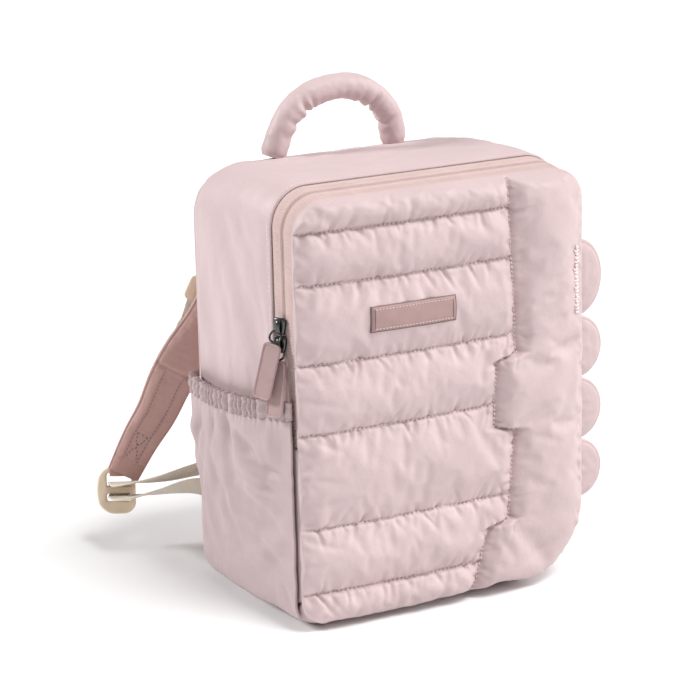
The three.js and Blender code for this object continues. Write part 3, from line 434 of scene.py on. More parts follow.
def walls():
    lined = WALL * 0.8
    behind, whole = [linspace(low, BACK, int((BACK - low) / 2.4) + 1) for low in (ZIP_REAR + GAP, FRONT)]
    upper = wall_grid(OVER, behind)
    # The edge along the zip is folded over and stands a little proud
    from_edge = upper[..., 1] - ZIP_REAR - GAP
    proud = 0.9 * bell(from_edge - 1.6, 1.7) - 0.7 * bell(from_edge - 5.2, 1.2)
    centre = upper * [0.86, 1, 0.86] + [0, 0, HEIGHT * 0.07]
    away = unit((upper - centre) * [1, 0, 1])
    upper = upper + away * proud[..., None]
    piece = sheet_piece("gusset", upper, upper - away * lined, cloth)
    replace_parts(piece, "upper_gusset")
    edge_line = upper[:, np.argmin(np.abs(behind - (ZIP_REAR + GAP + 4.6)))]
    stitch_row("gusset_topstitch", edge_line, away[:, 0], pitch=3.4, long=2.4)

    for stretch in ("left", "right"):
        grid = rolled(wall_grid([stretch], whole, ends=(0.004, 0.996)))
        lining = wall_grid([stretch], whole, inset=lined, ends=(0.004, 0.996))
        piece = sheet_piece(f"lower_side_{stretch}", grid, lining, cloth)
        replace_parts(piece, f"side_gusset_{stretch}")
    under = ["baseLeft", "base", "baseRight"]
    grid = rolled(wall_grid(under, whole))
    grid[..., 2] = maximum(grid[..., 2], 0)
    piece = sheet_piece("base", grid, wall_grid(under, whole, inset=lined), cloth)
    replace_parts(piece, "base_panel")


# ---- the zip


def zip_parts():
    coil_front = FRONT + TAPE + GAP
    for name, start in (("tape_front", FRONT), ("tape_rear", coil_front + COIL + GAP)):
        depths = linspace(start, start + TAPE, 9)
        outer, inner = [wall_grid(OVER, depths, inset=deep, step=2.0, relief=False) for deep in (1.0, 2.2)]
        piece = sheet_piece(f"zip_{name}", outer, inner, tape_cloth)
        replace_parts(piece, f"zip_{name}")
    depths = linspace(coil_front, coil_front + COIL, 11)
    flat, core = [wall_grid(OVER, depths, inset=deep, step=0.65, relief=False) for deep in (0.0, 2.2)]
    share = np.abs((depths - coil_front) / COIL - 0.5) * 2
    lips = 0.35 * sqrt(clamp(1 - ((share - 0.55) / 0.6) ** 2)) - 1.7 * bell(share, 0.16)
    teeth = 0.16 * cos(np.arange(len(flat)) * pi)[:, None] * (share > 0.15)
    outer = flat + unit(core - flat) * (1.25 - lips - teeth)[..., None]
    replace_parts(sheet_piece("zip_teeth", outer, core, coil_cloth), "zip_coil")


# ---- the front panel

# The sewn lines' heights, and the stepped seam: shares of the height, and of half the width from the middle
QUILT = [PANEL_LOW + PANEL_TALL * up for up in (0.077, 0.233, 0.46, 0.624, 0.809, 0.93)]
CHANNEL_ENDS = array([PANEL_LOW, *QUILT, PANEL_HIGH])
STEPS = array([(0.0, 0.15), (0.161, 0.267), (0.173, 0.417), (0.392, 0.467), (0.404, 0.317), (0.566, 0.333),
               (0.578, 0.483), (1.0, 0.43)]) * [PANEL_TALL, HALF] + [PANEL_LOW, 0]
FRONT_EDGE, DOME, QUILT_PUFF, PLAIN_PUFF = 3, 8, 6, 8
PANEL_ROLL, PLAIN_ROLL, QUILT_FALL = 16, 30, 12


def corner_inset(z, low_radius, high_radius, low=PANEL_LOW, high=PANEL_HIGH):
    below = clamp(low + low_radius - z, 0, low_radius)
    above = clamp(z - (high - high_radius), 0, high_radius)
    arc = lambda radius, reach: radius - sqrt(radius * radius - reach * reach)
    return arc(low_radius, below) + arc(high_radius, above)


def panel_left(z):
    return corner_inset(z, BASE_LEFT, TOP_FRONT) - HALF


def panel_right(z):
    return HALF - corner_inset(z, BASE_RIGHT, TOP_FRONT)


def swell(share):
    return sin(pi / 2 * clamp(share)) ** 0.8


def front_stand(x, z):
    """How far the solid's face stands out, channels and all."""
    up_down = round_over(maximum(minimum(z - PANEL_LOW, PANEL_HIGH - z), 0), PANEL_ROLL)
    from_left = round_over(maximum(x - panel_left(z), 0), PANEL_ROLL)
    from_right = round_over(maximum(panel_right(z) - x, 0), PLAIN_ROLL)
    edge = minimum(minimum(up_down, from_left), from_right)
    dome = DOME * cos(pi / 2 * clamp(x / HALF, -1, 1)) ** 0.6
    seam = np.interp(z, *STEPS.T)
    k = clamp(np.searchsorted(CHANNEL_ENDS, z, side="left"), 1, len(CHANNEL_ENDS) - 1)
    share = clamp((z - CHANNEL_ENDS[k - 1]) / (CHANNEL_ENDS[k] - CHANNEL_ENDS[k - 1]))
    channel = sin(pi * share) ** 0.7 * swell((seam - x) / QUILT_FALL)
    quilted = edge * dome + QUILT_PUFF * channel * from_left
    plain = edge * (dome + PLAIN_PUFF * swell((x - seam) / QUILT_FALL))
    return FRONT_EDGE + np.where(x > seam, plain, quilted)


def sewn_lines():
    """The lines across the quilted part and then the stepped seam, as (x, z) places."""
    across = [array([[panel_left(z) + 3, z], [np.interp(z, *STEPS.T), z]]) for z in QUILT]
    return [*across, STEPS[:, ::-1]]


def line_distance(x, z, line):
    """The distance to a line, the length along it and the side of it, at each place."""
    best, along, side = np.full(x.shape, 1e9), np.zeros(x.shape), np.zeros(x.shape)
    start = 0.0
    for (x0, z0), (x1, z1) in zip(line[:-1], line[1:]):
        dx, dz = x1 - x0, z1 - z0
        long = hypot(dx, dz)
        t = clamp(((x - x0) * dx + (z - z0) * dz) / long ** 2)
        away = np.hypot(x - x0 - t * dx, z - z0 - t * dz)
        nearer = away < best
        best = np.where(nearer, away, best)
        along = np.where(nearer, start + t * long, along)
        side = np.where(nearer, np.sign((x - x0) * dz - (z - z0) * dx), side)
        start += long
    return best, along, side


def gathers_beside(x, z, line, seed, spacing, reach, deep):
    """Small creases that run out from a sewn line on both sides, where the thread has drawn the cloth in."""
    away, along, side = line_distance(x, z, line)
    total = np.zeros(x.shape)
    near = away < reach * 2.6
    a, b, s = away[near], along[near], side[near]
    rng = np.random.default_rng(seed)
    first, second = rng.uniform(0, 6, 2)
    wave = sin(2 * pi * b / 8.3 + first + 1.4 * sin(b / 17 + s) + s)
    wave += 0.7 * sin(2 * pi * b / 5.1 + second + 1.1 * sin(b / 11) - s)
    sub = 0.22 * deep * wave * exp(-a / (0.36 * reach)) * clamp(a / 1.5)
    long = lengths(line)[-1]
    for which in (-1, 1):
        at = rng.uniform(0, spacing)
        while at < long:
            wide = rng.uniform(1.1, 2.4)
            size = deep * rng.uniform(0.3, 1.35)
            out = reach * rng.uniform(0.5, 1.45)
            place = at + rng.uniform(-0.7, 0.7) * a
            crease = bell(b - place, wide * (0.6 + a / out))
            sub += (s == which) * size * crease * bell(a, out, 1.6) * clamp(a / 1.2, 0.25, 1)
            at += spacing * rng.uniform(0.35, 1.5)
    total[near] = sub
    return total


def sewn_relief(x, z):
    """The depth that the stitched lines and the gathers beside them draw the cloth in."""
    total = np.zeros(x.shape)
    for k, line in enumerate(sewn_lines()):
        away, along, _ = line_distance(x, z, line)
        total += 1.7 * bell(away, 1.35) * (1 + 0.3 * sin(2 * pi * along / 3.5 + k))
        spacing, reach, deep = (9, 7, 1.6) if k == len(QUILT) else (12, 8.5, 2.3)
        total += gathers_beside(x, z, line, 40 + k, spacing, reach, deep)
    return total


# Soft folds over the whole panel: the middle's x and z, then as in the sides' folds
PANEL_FOLDS = [
    (84, 196, 26, 5.5, 32, 1.9), (90, 176, 24, 5, 38, 1.7), (80, 214, 20, 4.5, 25, 1.3), (92, 238, 22, 5, 12, 1.1),
    (76, 118, 24, 6, 40, 1.3), (88, 92, 26, 6, 52, 1.4), (70, 60, 20, 5, 30, 1.2), (74, 30, 18, 5, 20, 1.3),
    (96, 140, 26, 6, 70, 1.2), (62, 268, 16, 4.5, 70, 1.0), (-104, 190, 12, 3.2, 20, 1.1),
    (-106, 172, 12, 3, -15, 1.1), (-104, 141, 13, 3, -24, 1.5), (-108, 127, 10, 2.8, 18, 1.3),
    (-105, 115, 12, 3, -10, 1.1), (-104, 96, 14, 3.2, 12, 1.1), (-104, 66, 12, 3, -20, 1.2),
    (-106, 52, 10, 3, 15, 1.0), (-102, 20, 10, 3, 40, 1.4), (-20, 178, 22, 7, 60, 0.8), (-60, 225, 18, 6, 70, 0.7),
    (10, 108, 30, 9, 20, 0.9), (-50, 100, 26, 8, -18, 0.8), (-10, 12, 12, 3.4, 80, 1.1), (-46, 12, 12, 3.2, 100, 1.2),
    (-80, 13, 12, 3.2, 75, 1.2), (18, 14, 12, 3.4, 95, 1.1)]


def simulated(name, start, pins, loose, frames, pressure, gravity, longer, way):
    """How far cloth moves from its first shape as it settles between its pins. Loose cloth is cut longer than where
    it is sewn. The way is the axis that the cloth faces against."""
    piece = make(name, start, grid_faces(*pins.shape), cloth)
    polygons = piece.data.polygons
    if polygons[len(polygons) // 2].normal[way] > 0:
        piece.data.flip_normals()
    pinned = piece.vertex_groups.new(name="pins")
    pinned.add(np.nonzero(pins.ravel())[0].tolist(), 1.0, "REPLACE")
    slack = piece.vertex_groups.new(name="slack")
    levels = np.round(loose.ravel(), 1)
    for level in np.unique(levels[levels > 0]):
        slack.add(np.nonzero(levels == level)[0].tolist(), float(level), "REPLACE")
    modifier = piece.modifiers.new("Cloth", "CLOTH")
    settings = modifier.settings
    for key, value in {"quality": 6, "mass": 0.15, "air_damping": 2, "tension_stiffness": 12,
                       "compression_stiffness": 12, "shear_stiffness": 4, "bending_stiffness": 2.0,
                       "vertex_group_mass": "pins", "vertex_group_shrink": "slack", "shrink_min": -0.015,
                       "shrink_max": -longer, "use_pressure": True, "uniform_pressure_force": pressure}.items():
        setattr(settings, key, value)
    settings.effector_weights.gravity = gravity
    modifier.collision_settings.use_collision = False
    modifier.point_cache.frame_start = 1
    modifier.point_cache.frame_end = frames
    for number in range(1, frames + 1):
        scene.frame_set(number)
    settled = piece.evaluated_get(bpy.context.evaluated_depsgraph_get()).to_mesh()
    places = np.zeros(len(settled.vertices) * 3)
    settled.vertices.foreach_get("co", places)
    bpy.data.objects.remove(piece)
    scene.frame_set(1)
    return places.reshape(start.shape) / MM - start


def resampled(field, old_rows, old_columns, rows, columns):
    """A field of a grid, read at other rows and columns by smooth interpolation."""

    def along_first(values, old, new):
        position = np.interp(new, old, np.arange(len(old)))
        k = minimum(position.astype(int), len(old) - 2)
        t = (position - k).reshape(-1, *([1] * (values.ndim - 1)))
        p0, p1, p2, p3 = [values[np.clip(k + i, 0, len(old) - 1)] for i in (-1, 0, 1, 2)]
        return 0.5 * (2 * p1 + (p2 - p0) * t + (2 * p0 - 5 * p1 + 4 * p2 - p3) * t ** 2
                      + (3 * p1 - p0 - 3 * p2 + p3) * t ** 3)

    halfway = along_first(field, old_rows, rows)
    return along_first(halfway.swapaxes(0, 1), old_columns, columns).swapaxes(0, 1)


def blurred(field, size):
    """A field of a grid, averaged over this many places along each way."""
    for axis in (0, 1):
        pad = [(size, size) if k == axis else (0, 0) for k in range(field.ndim)]
        total = np.cumsum(np.pad(field, pad, mode="edge"), axis=axis)
        upper = np.take(total, np.arange(2 * size, total.shape[axis]), axis=axis)
        lower = np.take(total, np.arange(0, total.shape[axis] - 2 * size), axis=axis)
        field = (upper - lower) / (2 * size)
    return field


def panel_grid(row_step, column_step):
    """The panel's rows and columns, and its solid's face at them. The rows crowd at the rims."""
    near = array([0, 0.15, 0.5, 1.1, 1.9, 3.0, 4.4])
    marks = [PANEL_LOW + near[-1], *QUILT, PANEL_HIGH - near[-1]]
    between = [linspace(low, high, max(int(round((high - low) / row_step)), 2) + 1)[:-1]
               for low, high in zip(marks[:-1], marks[1:])]
    rows = concatenate([PANEL_LOW + near[:-1], *between, PANEL_HIGH - near[::-1]])
    columns = linspace(0, 1, int(WIDTH / column_step) + 1)
    z = np.broadcast_to(rows[:, None], (len(rows), len(columns)))
    x = mix(panel_left(z), panel_right(z), columns)
    return rows, columns, xyz(x, FRONT - GAP - front_stand(x, z), z)


def panel_give(rows, columns):
    """How far the sewn sheet moves from its first shape, settled on a coarse grid and read at a finer one's places."""
    coarse_rows, coarse_columns, start = panel_grid(2.2, 2.0)
    x, z = start[..., 0], start[..., 2]
    near = np.min([line_distance(x, z, line)[0] for line in sewn_lines()], axis=0)
    pins = near < 1.15
    pins[0] = pins[-1] = pins[:, 0] = pins[:, -1] = True
    move = simulated("panel_settling", start, pins, bell(near, 9), 24, 2.6, 0.0, 0.06, way=1)
    size = np.linalg.norm(move, axis=-1, keepdims=True)
    move = blurred(move * minimum(1, 5.0 / maximum(size, 1e-9)), 1) * clamp(near / 2.5)[..., None]
    return resampled(move, coarse_rows, coarse_columns, rows, columns)


def front_panel():
    """Makes the panel, and returns a function that gives its Y at any x and z, to lay other pieces on."""
    rows, columns, grid = panel_grid(0.98, 0.95)
    x, z = grid[..., 0].copy(), grid[..., 2].copy()
    grid = grid + panel_give(rows, columns)
    # The padding bulges a little over the zip
    from_left = x - panel_left(z)
    straight = clamp((PANEL_HIGH - 6 - z) / 20) * clamp((z - PANEL_LOW - 4) / 14)
    grid[..., 0] -= 3.2 * bell(from_left - 3.5, 4.5) * clamp(from_left / 0.8) * straight
    edge = minimum(minimum(from_left, panel_right(z) - x), minimum(z - PANEL_LOW, PANEL_HIGH - z))
    inside = clamp(edge / 6)
    places = xyz(x, 0, z)
    relief = sewn_relief(x, z) * inside + 1.15 * dents(PANEL_FOLDS, x, z, sharp=1.8) * clamp(edge / 3)
    relief = relief + inside * (0.5 * ripple(places, 34, 11) + 0.14 * ripple(places, 14, 12))
    # Gathers along the panel's own sewn edge
    angle = np.arctan2(z - HEIGHT / 2, x)
    turn = ripple(xyz(cos(angle) * 90, 0, sin(angle) * 117), 9, 21) + 0.6 * ripple(places, 7, 22)
    grid[..., 1] += relief + 0.8 * turn * bell(edge - 4, 5) * clamp(edge / 2)

    # A skirt runs back from the rim, in two steps
    tall, wide = x.shape
    lead = tall * wide
    index = np.arange(lead).reshape(x.shape)
    rim = concatenate([index[0], index[1:, -1], index[-1, -2::-1], index[-2:0:-1, 0]])
    points = grid.reshape(-1, 3)
    halfway, back = points[rim].copy(), points[rim].copy()
    back[:, 1] = FRONT - GAP
    halfway[:, 1] = mix(halfway[:, 1], back[:, 1], 0.5)
    loops = [rim, lead + np.arange(len(rim)), lead + len(rim) + np.arange(len(rim))]
    skirts = [stack([a, np.roll(a, -1), np.roll(b, -1), b], 1) for a, b in zip(loops[:-1], loops[1:])]
    uv = stack([x, z], -1).reshape(-1, 2) * MM
    piece = make("quilted_front", concatenate([points, halfway, back]),
                 concatenate([grid_faces(tall, wide), *skirts]), cloth, concatenate([uv, uv[rim], uv[rim]]))
    outward(piece)
    if sum(p.normal.y for p in piece.data.polygons) > 0:
        piece.data.flip_normals()
    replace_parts(piece, "front_panel")

    def face(x, z):
        r = np.interp(z, rows, np.arange(tall))
        c = clamp((x - panel_left(z)) / (panel_right(z) - panel_left(z))) * (wide - 1)
        i, j = minimum(r.astype(int), tall - 2), minimum(c.astype(int), wide - 2)
        u, v, y = r - i, c - j, grid[..., 1]
        return mix(mix(y[i, j], y[i + 1, j], u), mix(y[i, j + 1], y[i + 1, j + 1], u), v)

    return face


def quilt_stitches(face):
    names = [f"quilt_stitches_{k + 1}" for k in range(len(QUILT))] + ["seam_stitches"]
    for name, line in zip(names, sewn_lines()):
        x, z = even(line, max(int(lengths(line)[-1]), 4)).T
        stitch_row(name, xyz(x, face(x, z), z), (0, -1, 0), pitch=3.5, long=2.6, thick=0.5, lift=0.45, slant=0.35)


# ---- the label


def label_patch(face):
    wide, high, thick, left, middle = 68, 18, 1.3, -67, HEIGHT * 0.724
    u, v = np.meshgrid(linspace(0, 1, 55), linspace(0, 1, 19), indexing="ij")
    x, z = wide * u + left, middle + high * (v - 0.5)
    # The patch bridges the cloth's small creases
    soft = [face(np.clip(x + dx, -110, 110), z + dz) for dx in (-9, -4, 0, 4, 9) for dz in (-6, 0, 6)]
    from_end, from_side = minimum(u, 1 - u) * wide, minimum(v, 1 - v) * high
    rise = thick * round_over(minimum(from_end, from_side), 1.0) ** 0.6
    groove = 0.28 * bell(from_side - 2.0, 0.55) + 0.35 * bell(from_end - 1.6, 0.5)
    base = minimum(np.mean(soft, axis=0), FRONT - GAP - front_stand(x, z) + 0.6)
    top = xyz(x, base - 0.5 - rise + groove, z)
    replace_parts(sheet_piece("label", top, xyz(x, base + 0.3, z), leather), "label_patch")
    # Its rim is darker and shows all round: painted shade, a dark sheet standing in for the shadow along its folded
    # edges
    grown_x, grown_z = [at + 0.5 * np.sign(s - 0.5) * (np.abs(s - 0.5) > 0.499) for at, s in ((x, u), (z, v))]
    outer, inner = xyz(grown_x, base - 0.75, grown_z), xyz(grown_x, base + 0.3, grown_z)
    sheet_piece("label_edge", outer, inner, shaded_label_rim)
    for k, share in enumerate((2.2 / wide, 1 - 2.2 / wide)):
        stitch_row(f"label_bar_{k + 1}", top[int(round(share * 54)), 2:-2], (0, -1, 0), pitch=1.1, long=1.0,
                   thick=0.34, material=bar_thread)
    for row, share in (("low", 2.0 / high), ("high", 1 - 2.0 / high)):
        stitch_row(f"label_stitches_{row}", top[2:-2, int(round(share * 18))], (0, -1, 0), pitch=2.6, long=1.7,
                   thick=0.38, lift=0.2, material=dark_thread)


# ---- the side pocket

POCKET_CLOTH, POCKET_BULGE, POCKET_MOUTH, POCKET_CLEAR = 1.6, 11, 6, 1.8
POCKET_UP, POCKET_BACK_UP, POCKET_DIP = 0.545, 0.507, 3
POCKET_TALL, HEM_HEIGHT = HEIGHT * 0.53, 12.5
POCKET_FRONT, POCKET_BACK, POCKET_LOW = FRONT + WALL, BACK - WALL, BASE_LEFT * 0.6

# Folds in the pocket's cloth, as in the solids, and finer ones beside them, given like the sides' folds
POCKET_FOLDS = [
    (0.22, 0.62, 34, 7, 6, 3.4), (0.2, 0.42, 36, 8, 14, 3.2), (0.5, 0.74, 26, 8, 82, 2.2),
    (0.78, 0.7, 40, 9, 100, 2.6), (0.86, 0.3, 44, 10, 68, 2.2)]
POCKET_CREASES = [
    (0.33, 0.83, 20, 6.5, 40, 3.2), (0.5, 0.88, 18, 5.5, 70, 2.8), (0.67, 0.86, 20, 6, 100, 2.8),
    (0.85, 0.8, 26, 6.5, 110, 3.0), (0.14, 0.72, 20, 6, 10, 2.8), (0.3, 0.52, 34, 8, 24, 2.6),
    (0.6, 0.52, 44, 9, 60, 2.4), (0.87, 0.45, 50, 9, 95, 2.6), (0.2, 0.28, 30, 8, 30, 2.2),
    (0.5, 0.2, 36, 9, 20, 2.0), (0.07, 0.08, 14, 5, 60, 2.2), (0.85, 0.12, 24, 7, 65, 2.2)]


def leaning(y, z, outward_by):
    """A place on the left side's skin, moved out by a distance, also below where the side turns under."""
    half, low = section(y)[:2]
    lean = np.arcsin(clamp(low + BASE_LEFT - z, 0, BASE_LEFT * 0.98) / BASE_LEFT)
    skin = BASE_LEFT * (1 - cos(lean)) - half
    return xyz(skin - outward_by * cos(lean), y, z - outward_by * sin(lean))


def hem_top(back):
    return HEIGHT * mix(POCKET_UP, POCKET_BACK_UP, back) - POCKET_DIP * sin(pi * back)


def gather_wave(back):
    """From 0 on a gather to 1 in the crease between two, along the hem."""
    phase = 23 * back + 0.3 * sin(2 * pi * 3.1 * back) + 0.16 * sin(2 * pi * 7.3 * back + 1)
    return 1 - np.abs(sin(pi * phase)) ** 0.9


def pocket_stand(back, up, fine=True):
    """How far the pocket stands off the side, at shares of its depth and height."""
    edges = minimum(swell(back / 0.35) ** 1.5, round_over(1 - back, 0.2))
    belly = POCKET_BULGE * swell(up) ** 2
    stand = mix(belly, POCKET_MOUTH, clamp(up) ** 4) * edges
    y, z = back * DEPTH, up * POCKET_TALL
    creased = lambda folds, sharp=2.0: dents(folds, y, z, DEPTH, POCKET_TALL, sharp)
    stand = POCKET_CLEAR + maximum(stand - creased(POCKET_FOLDS) * edges * (1 - up ** 6), 0)
    if fine:
        give = minimum(1, stand / 6)
        crisp = creased(POCKET_CREASES, 1.6) + 0.6 * creased(POCKET_FOLDS, 1.6)
        stand = stand + 2.2 * give - 2.1 * crisp * give * clamp(up / 0.03)
        places = xyz(0, y, z)
        stand = stand + give * (1.1 * ripple(places * [1, 0.8, 1.3], 40, 61) + 0.2 * ripple(places, 15, 62))
        # The gathered hem's small creases fade out below it
        stand = stand - 1.2 * gather_wave(back) * bell((1 - up) * POCKET_TALL, 6, 1.3) * give
    return maximum(stand, POCKET_CLEAR * 0.5)


def pocket_grid(ups, backs):
    """Shares up and back on the pocket's cloth below its hem, with the depths, heights and stands there."""
    up, back = np.meshgrid(ups, backs, indexing="ij")
    z = mix(POCKET_LOW, hem_top(back) - HEM_HEIGHT - GAP, up)
    return up, back, mix(POCKET_FRONT, POCKET_BACK, back), z, pocket_stand(back, up)


def settled_folds(ups, backs):
    """The folds the pocket's loose cloth falls into between its seams and its gathered hem."""
    coarse_ups, coarse_backs = linspace(0, 1, 58), linspace(0, 1, 54)
    up, back, y, z, stand = pocket_grid(coarse_ups, coarse_backs)
    pins = (up < 0.001) | (up > 0.999) | (back < 0.001) | (back > 0.999)
    loose = 0.5 + 0.5 * bell(1 - up, 0.3)
    move = -simulated("pocket_settling", leaning(y, z, stand), pins, loose, 26, 0.6, 1.0, 0.07, way=0)[..., 0]
    folds = blurred(move, 3) - blurred(move, 12)
    folds = np.clip(1.2 * folds, -3.5, 3.5) * minimum(1, stand / 5)
    return resampled(folds, coarse_ups, coarse_backs, ups, backs)


def side_pocket():
    ups, backs = linspace(0, 1, 92), linspace(0, 1, 170)
    _, _, y, z, stand = pocket_grid(ups, backs)
    stand = maximum(stand + settled_folds(ups, backs), POCKET_CLEAR * 0.5)
    outer, inner = leaning(y, z, stand + POCKET_CLOTH), leaning(y, z, stand)
    pocket = sheet_piece("pocket", outer, inner, pocket_shaded_cloth)
    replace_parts(pocket, "side_pocket")

    up, back = np.meshgrid(linspace(0, 1, 17), linspace(0, 1, 420), indexing="ij")
    puff = 1 - gather_wave(back)
    ends = minimum(round_over(back, 0.05), round_over(1 - back, 0.05))
    drawn = bell(up - 0.2, 0.09) + bell(up - 0.8, 0.09)
    rise = 0.3 + ends * (4.6 * puff * (1 - 0.12 * drawn) + 0.5 * sin(pi * up)) - 0.15 * drawn
    z = hem_top(back) - HEM_HEIGHT + HEM_HEIGHT * up + ends * (up > 0.9) * (1.6 * puff - 0.8)
    z = z - ends * (up < 0.1) * 0.9 * puff
    y = mix(POCKET_FRONT, POCKET_BACK, back) + 0.5 * ends * sin(2 * pi * (9 * back + 1.3 * up))
    stand = pocket_stand(back, 1 + 0 * back, fine=False)
    outer = leaning(y, z, stand + rise + 0.5)
    hem = sheet_piece("hem", outer, leaning(y, z, stand - 0.1), pocket_shaded_cloth)
    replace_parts(hem, "pocket_hem")
    for k, row in enumerate((3, 13)):
        stitch_row(f"hem_stitches_{k + 1}", outer[row], (-1, 0, 0), pitch=3.0, long=1.8, thick=0.2, lift=0.0,
                   material=dark_thread)


# ---- the scallops


def scallop_pieces(face):
    root, reach, thick, rim, size = HALF + GAP, 22, 9, 2.4, 47
    middle, top = FRONT + GAP + thick / 2, HEIGHT * 0.82
    shares = (1 - cos(linspace(0, pi, 33))) / 2
    angle, share = np.meshgrid(np.radians(linspace(-82, 82, 61)), shares, indexing="ij")
    rise = sin(angle)
    out = sqrt(1 - rise * rise) * share
    left = maximum(1 - out * out - rise * rise, 0)
    for k, factor in enumerate((1.25, 1.02, 1.02, 0.98)):
        radius = size * factor / 2
        x, z = root + reach * out, top - radius + radius * rise
        places = xyz(x, 0, z + 300 * k)
        fan = sin(angle * (13 + k) + 2 * ripple(places, 16, 71)) * bell(share, 0.3, 1.5)
        half = rim / 2 + (thick - rim) / 2 * left ** 0.42
        half = half - 0.55 * maximum(fan, 0) * left ** 0.3 + 0.28 * ripple(places, 9, 72 + k) * left ** 0.5
        half = half - 0.45 * bell(sqrt(1 - left) - 0.9, 0.035) * (share > 0.2)
        piece = sheet_piece(f"scallop_pad_{k + 1}", xyz(x, middle - half, z), xyz(x, middle + half, z), cloth)
        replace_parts(piece, f"scallop_{k + 1}")
        top -= 2 * radius + GAP
    # The top one's base is sewn through the panel, with stitches that show
    low, high = 206, 258
    for k, shift in enumerate((0.0, 1.3, 2.4)):
        z = linspace(low, high, 60)
        x = panel_right(z) - 7.5 - shift - 2.2 * sin(pi * (z - low) / (high - low)) + 0.8 * sin(z * 0.9 + k)
        stitch_row(f"scallop_stitches_{k + 1}", xyz(x, face(x, z) - 0.2, z), (0.3, -1, 0), pitch=3.1, long=3.2,
                   thick=0.6, lift=0.35, slant=1.1 * (-1) ** k, material=pale_thread)


# ---- rings round a route


def route_frames(controls, count, across_at):
    """Places along a curve: the middle, the width's direction and the direction it faces."""
    at = curve_through(controls, count)
    ahead = unit(np.gradient(at, axis=0))
    across = across_at(linspace(0, 1, count))
    across = unit(across - ahead * np.sum(across * ahead, -1, keepdims=True))
    return at, across, cross(across, ahead)


def rings_round(at, across, out, profile):
    """Rings from profiles of (across, out) places in millimetres: one profile, or one for each place."""
    profile = np.broadcast_to(profile, (len(at), *np.shape(profile)[-2:]))
    return at[:, None] + across[:, None] * profile[..., :1] + out[:, None] * profile[..., 1:]


def carry_handle():
    x, y, thick, span, tall = -3, BACK - 14, 10.0, 50, 48
    foot = section(y)[2] + GAP
    shape = [(-1.08, 0), (-0.97, 0.3), (-0.8, 0.62), (-0.46, 0.9), (0.04, 1), (0.5, 0.9), (0.85, 0.6), (0.98, 0.28),
             (1.02, 0)]
    controls = [(span * a + x, y, foot + tall * u) for a, u in shape]
    at, across, out = route_frames(controls, 170, lambda s: np.tile([0.0, 1.0, 0.0], (len(s), 1)))
    share = linspace(0, 1, len(at))[:, None]
    turn = linspace(0, 2 * pi, 44, endpoint=False)
    circle = stack([cos(turn), sin(turn)], -1)
    inner = np.sign(np.sum(out * ([x, y, foot + 10.0] - at), -1))[:, None]
    facing = clamp(circle[:, 1] * inner, -1, 1)
    radius = np.full(facing.shape, thick)
    # Creases on the inner side where the tube is bent: where, how deep and how wide
    for where, deep, wide in ((0.12, 0.7, 0.02), (0.19, 1.1, 0.015), (0.285, 3.0, 0.015), (0.325, 1.2, 0.012),
                              (0.66, 0.9, 0.014), (0.735, 2.8, 0.015), (0.775, 1.1, 0.012), (0.87, 1.3, 0.016)):
        away = (share - where - 0.012 * sin(2 * circle[:, 0] + 9 * where)) / wide
        radius -= deep * bell(away, 1) * smooth((facing + 0.85) / 1.5)
        radius += 0.25 * deep * bell(np.abs(away) - 2.1, 1) * smooth((facing + 0.8) / 1.5)
    places = rings_round(at, across, out, circle * thick)
    radius += 0.35 * ripple(places, 18, 81) + 0.2 * ripple(places, 8, 82)
    radius -= 1.6 * bell(minimum(share, 1 - share), 0.02)
    piece = tube_piece("handle", rings_round(at, across, out, circle * radius[..., None]), cloth)
    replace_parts(piece, "carry_handle")


# ---- the back panel


def back_panel():
    half, low, high, top, right = section(BACK)
    sewn = (52, 150, 248)
    near = array([0, 0.3, 0.9, 1.8, 3.0, 4.6])
    rows = concatenate([low + near, linspace(low + 6.5, high - 6.5, 128), high - near[::-1]])
    shares = (1 - cos(linspace(0, pi, 121))) / 2
    z = np.broadcast_to(rows[:, None], (len(rows), len(shares)))
    left_inset, right_inset = [corner_inset(z, radius, top, low, high) for radius in (BASE_LEFT, right)]
    x = mix(left_inset - half, half - right_inset, shares)
    to_edge = minimum(minimum(half - np.abs(x), z - low), high - z)
    places = xyz(x, 0, z)
    stand = 3 + 8 * round_over(maximum(to_edge, 0), 38.4)
    stand = stand + clamp(to_edge / 10) * (0.7 * ripple(places, 46, 91) + 0.3 * ripple(places, 18, 92))
    for line in sewn:
        pucker = 0.7 * (1 + 0.5 * ripple(places, 8, 93 + line))
        stand = stand - clamp((to_edge - 13) / 3) * (1.6 * bell(z - line, 1.8) + pucker * bell(z - line, 7))
    stand = stand - 1.5 * bell(to_edge - 12, 1.7) * (1 + 0.3 * ripple(places, 6, 97))
    outer = xyz(x, BACK + GAP + maximum(stand, 1.2), z)
    piece = sheet_piece("back_pad", outer, xyz(x, BACK + GAP, z), cloth)
    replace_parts(piece, "back_panel")
    for k, line in enumerate(sewn):
        row = outer[np.argmin(np.abs(rows - line))]
        stitch_row(f"back_stitches_{k + 1}", row[np.abs(row[:, 0]) < half - 14], (0, 1, 0), pitch=3.5, long=2.5)


# ---- the shoulder straps, webbing and buckles, for the left side and mirrored

SIDES = (("left", array([1.0, 1.0, 1.0])), ("right", array([-1.0, 1.0, 1.0])))
BUCKLE_MIDDLE = array([-(HALF + 33), BACK + 83, 46.0])
BUCKLE_ACROSS = unit([0.87, -0.49, 0])
BUCKLE_DOWN = unit(cross(BUCKLE_ACROSS, unit([-0.47, -0.84, 0.27])))
TOWARD_BAG = cross(BUCKLE_DOWN, BUCKLE_ACROSS)
BACK_FLAT = BACK + GAP + 11
STRAP_PAD, STRAP_END_PAD, BUCKLE_THICK, WEB_THICK = 13, 6, 3.6, 1.6
# Shares of the strap's length: where its cloth is folded and the box is sewn
STRAP_FOLD, BOX_START, BOX_END, TIP_FOLD = 0.635, 0.865, 0.945, 0.955


def at_buckle(down, near):
    return BUCKLE_MIDDLE + BUCKLE_DOWN * down + TOWARD_BAG * near


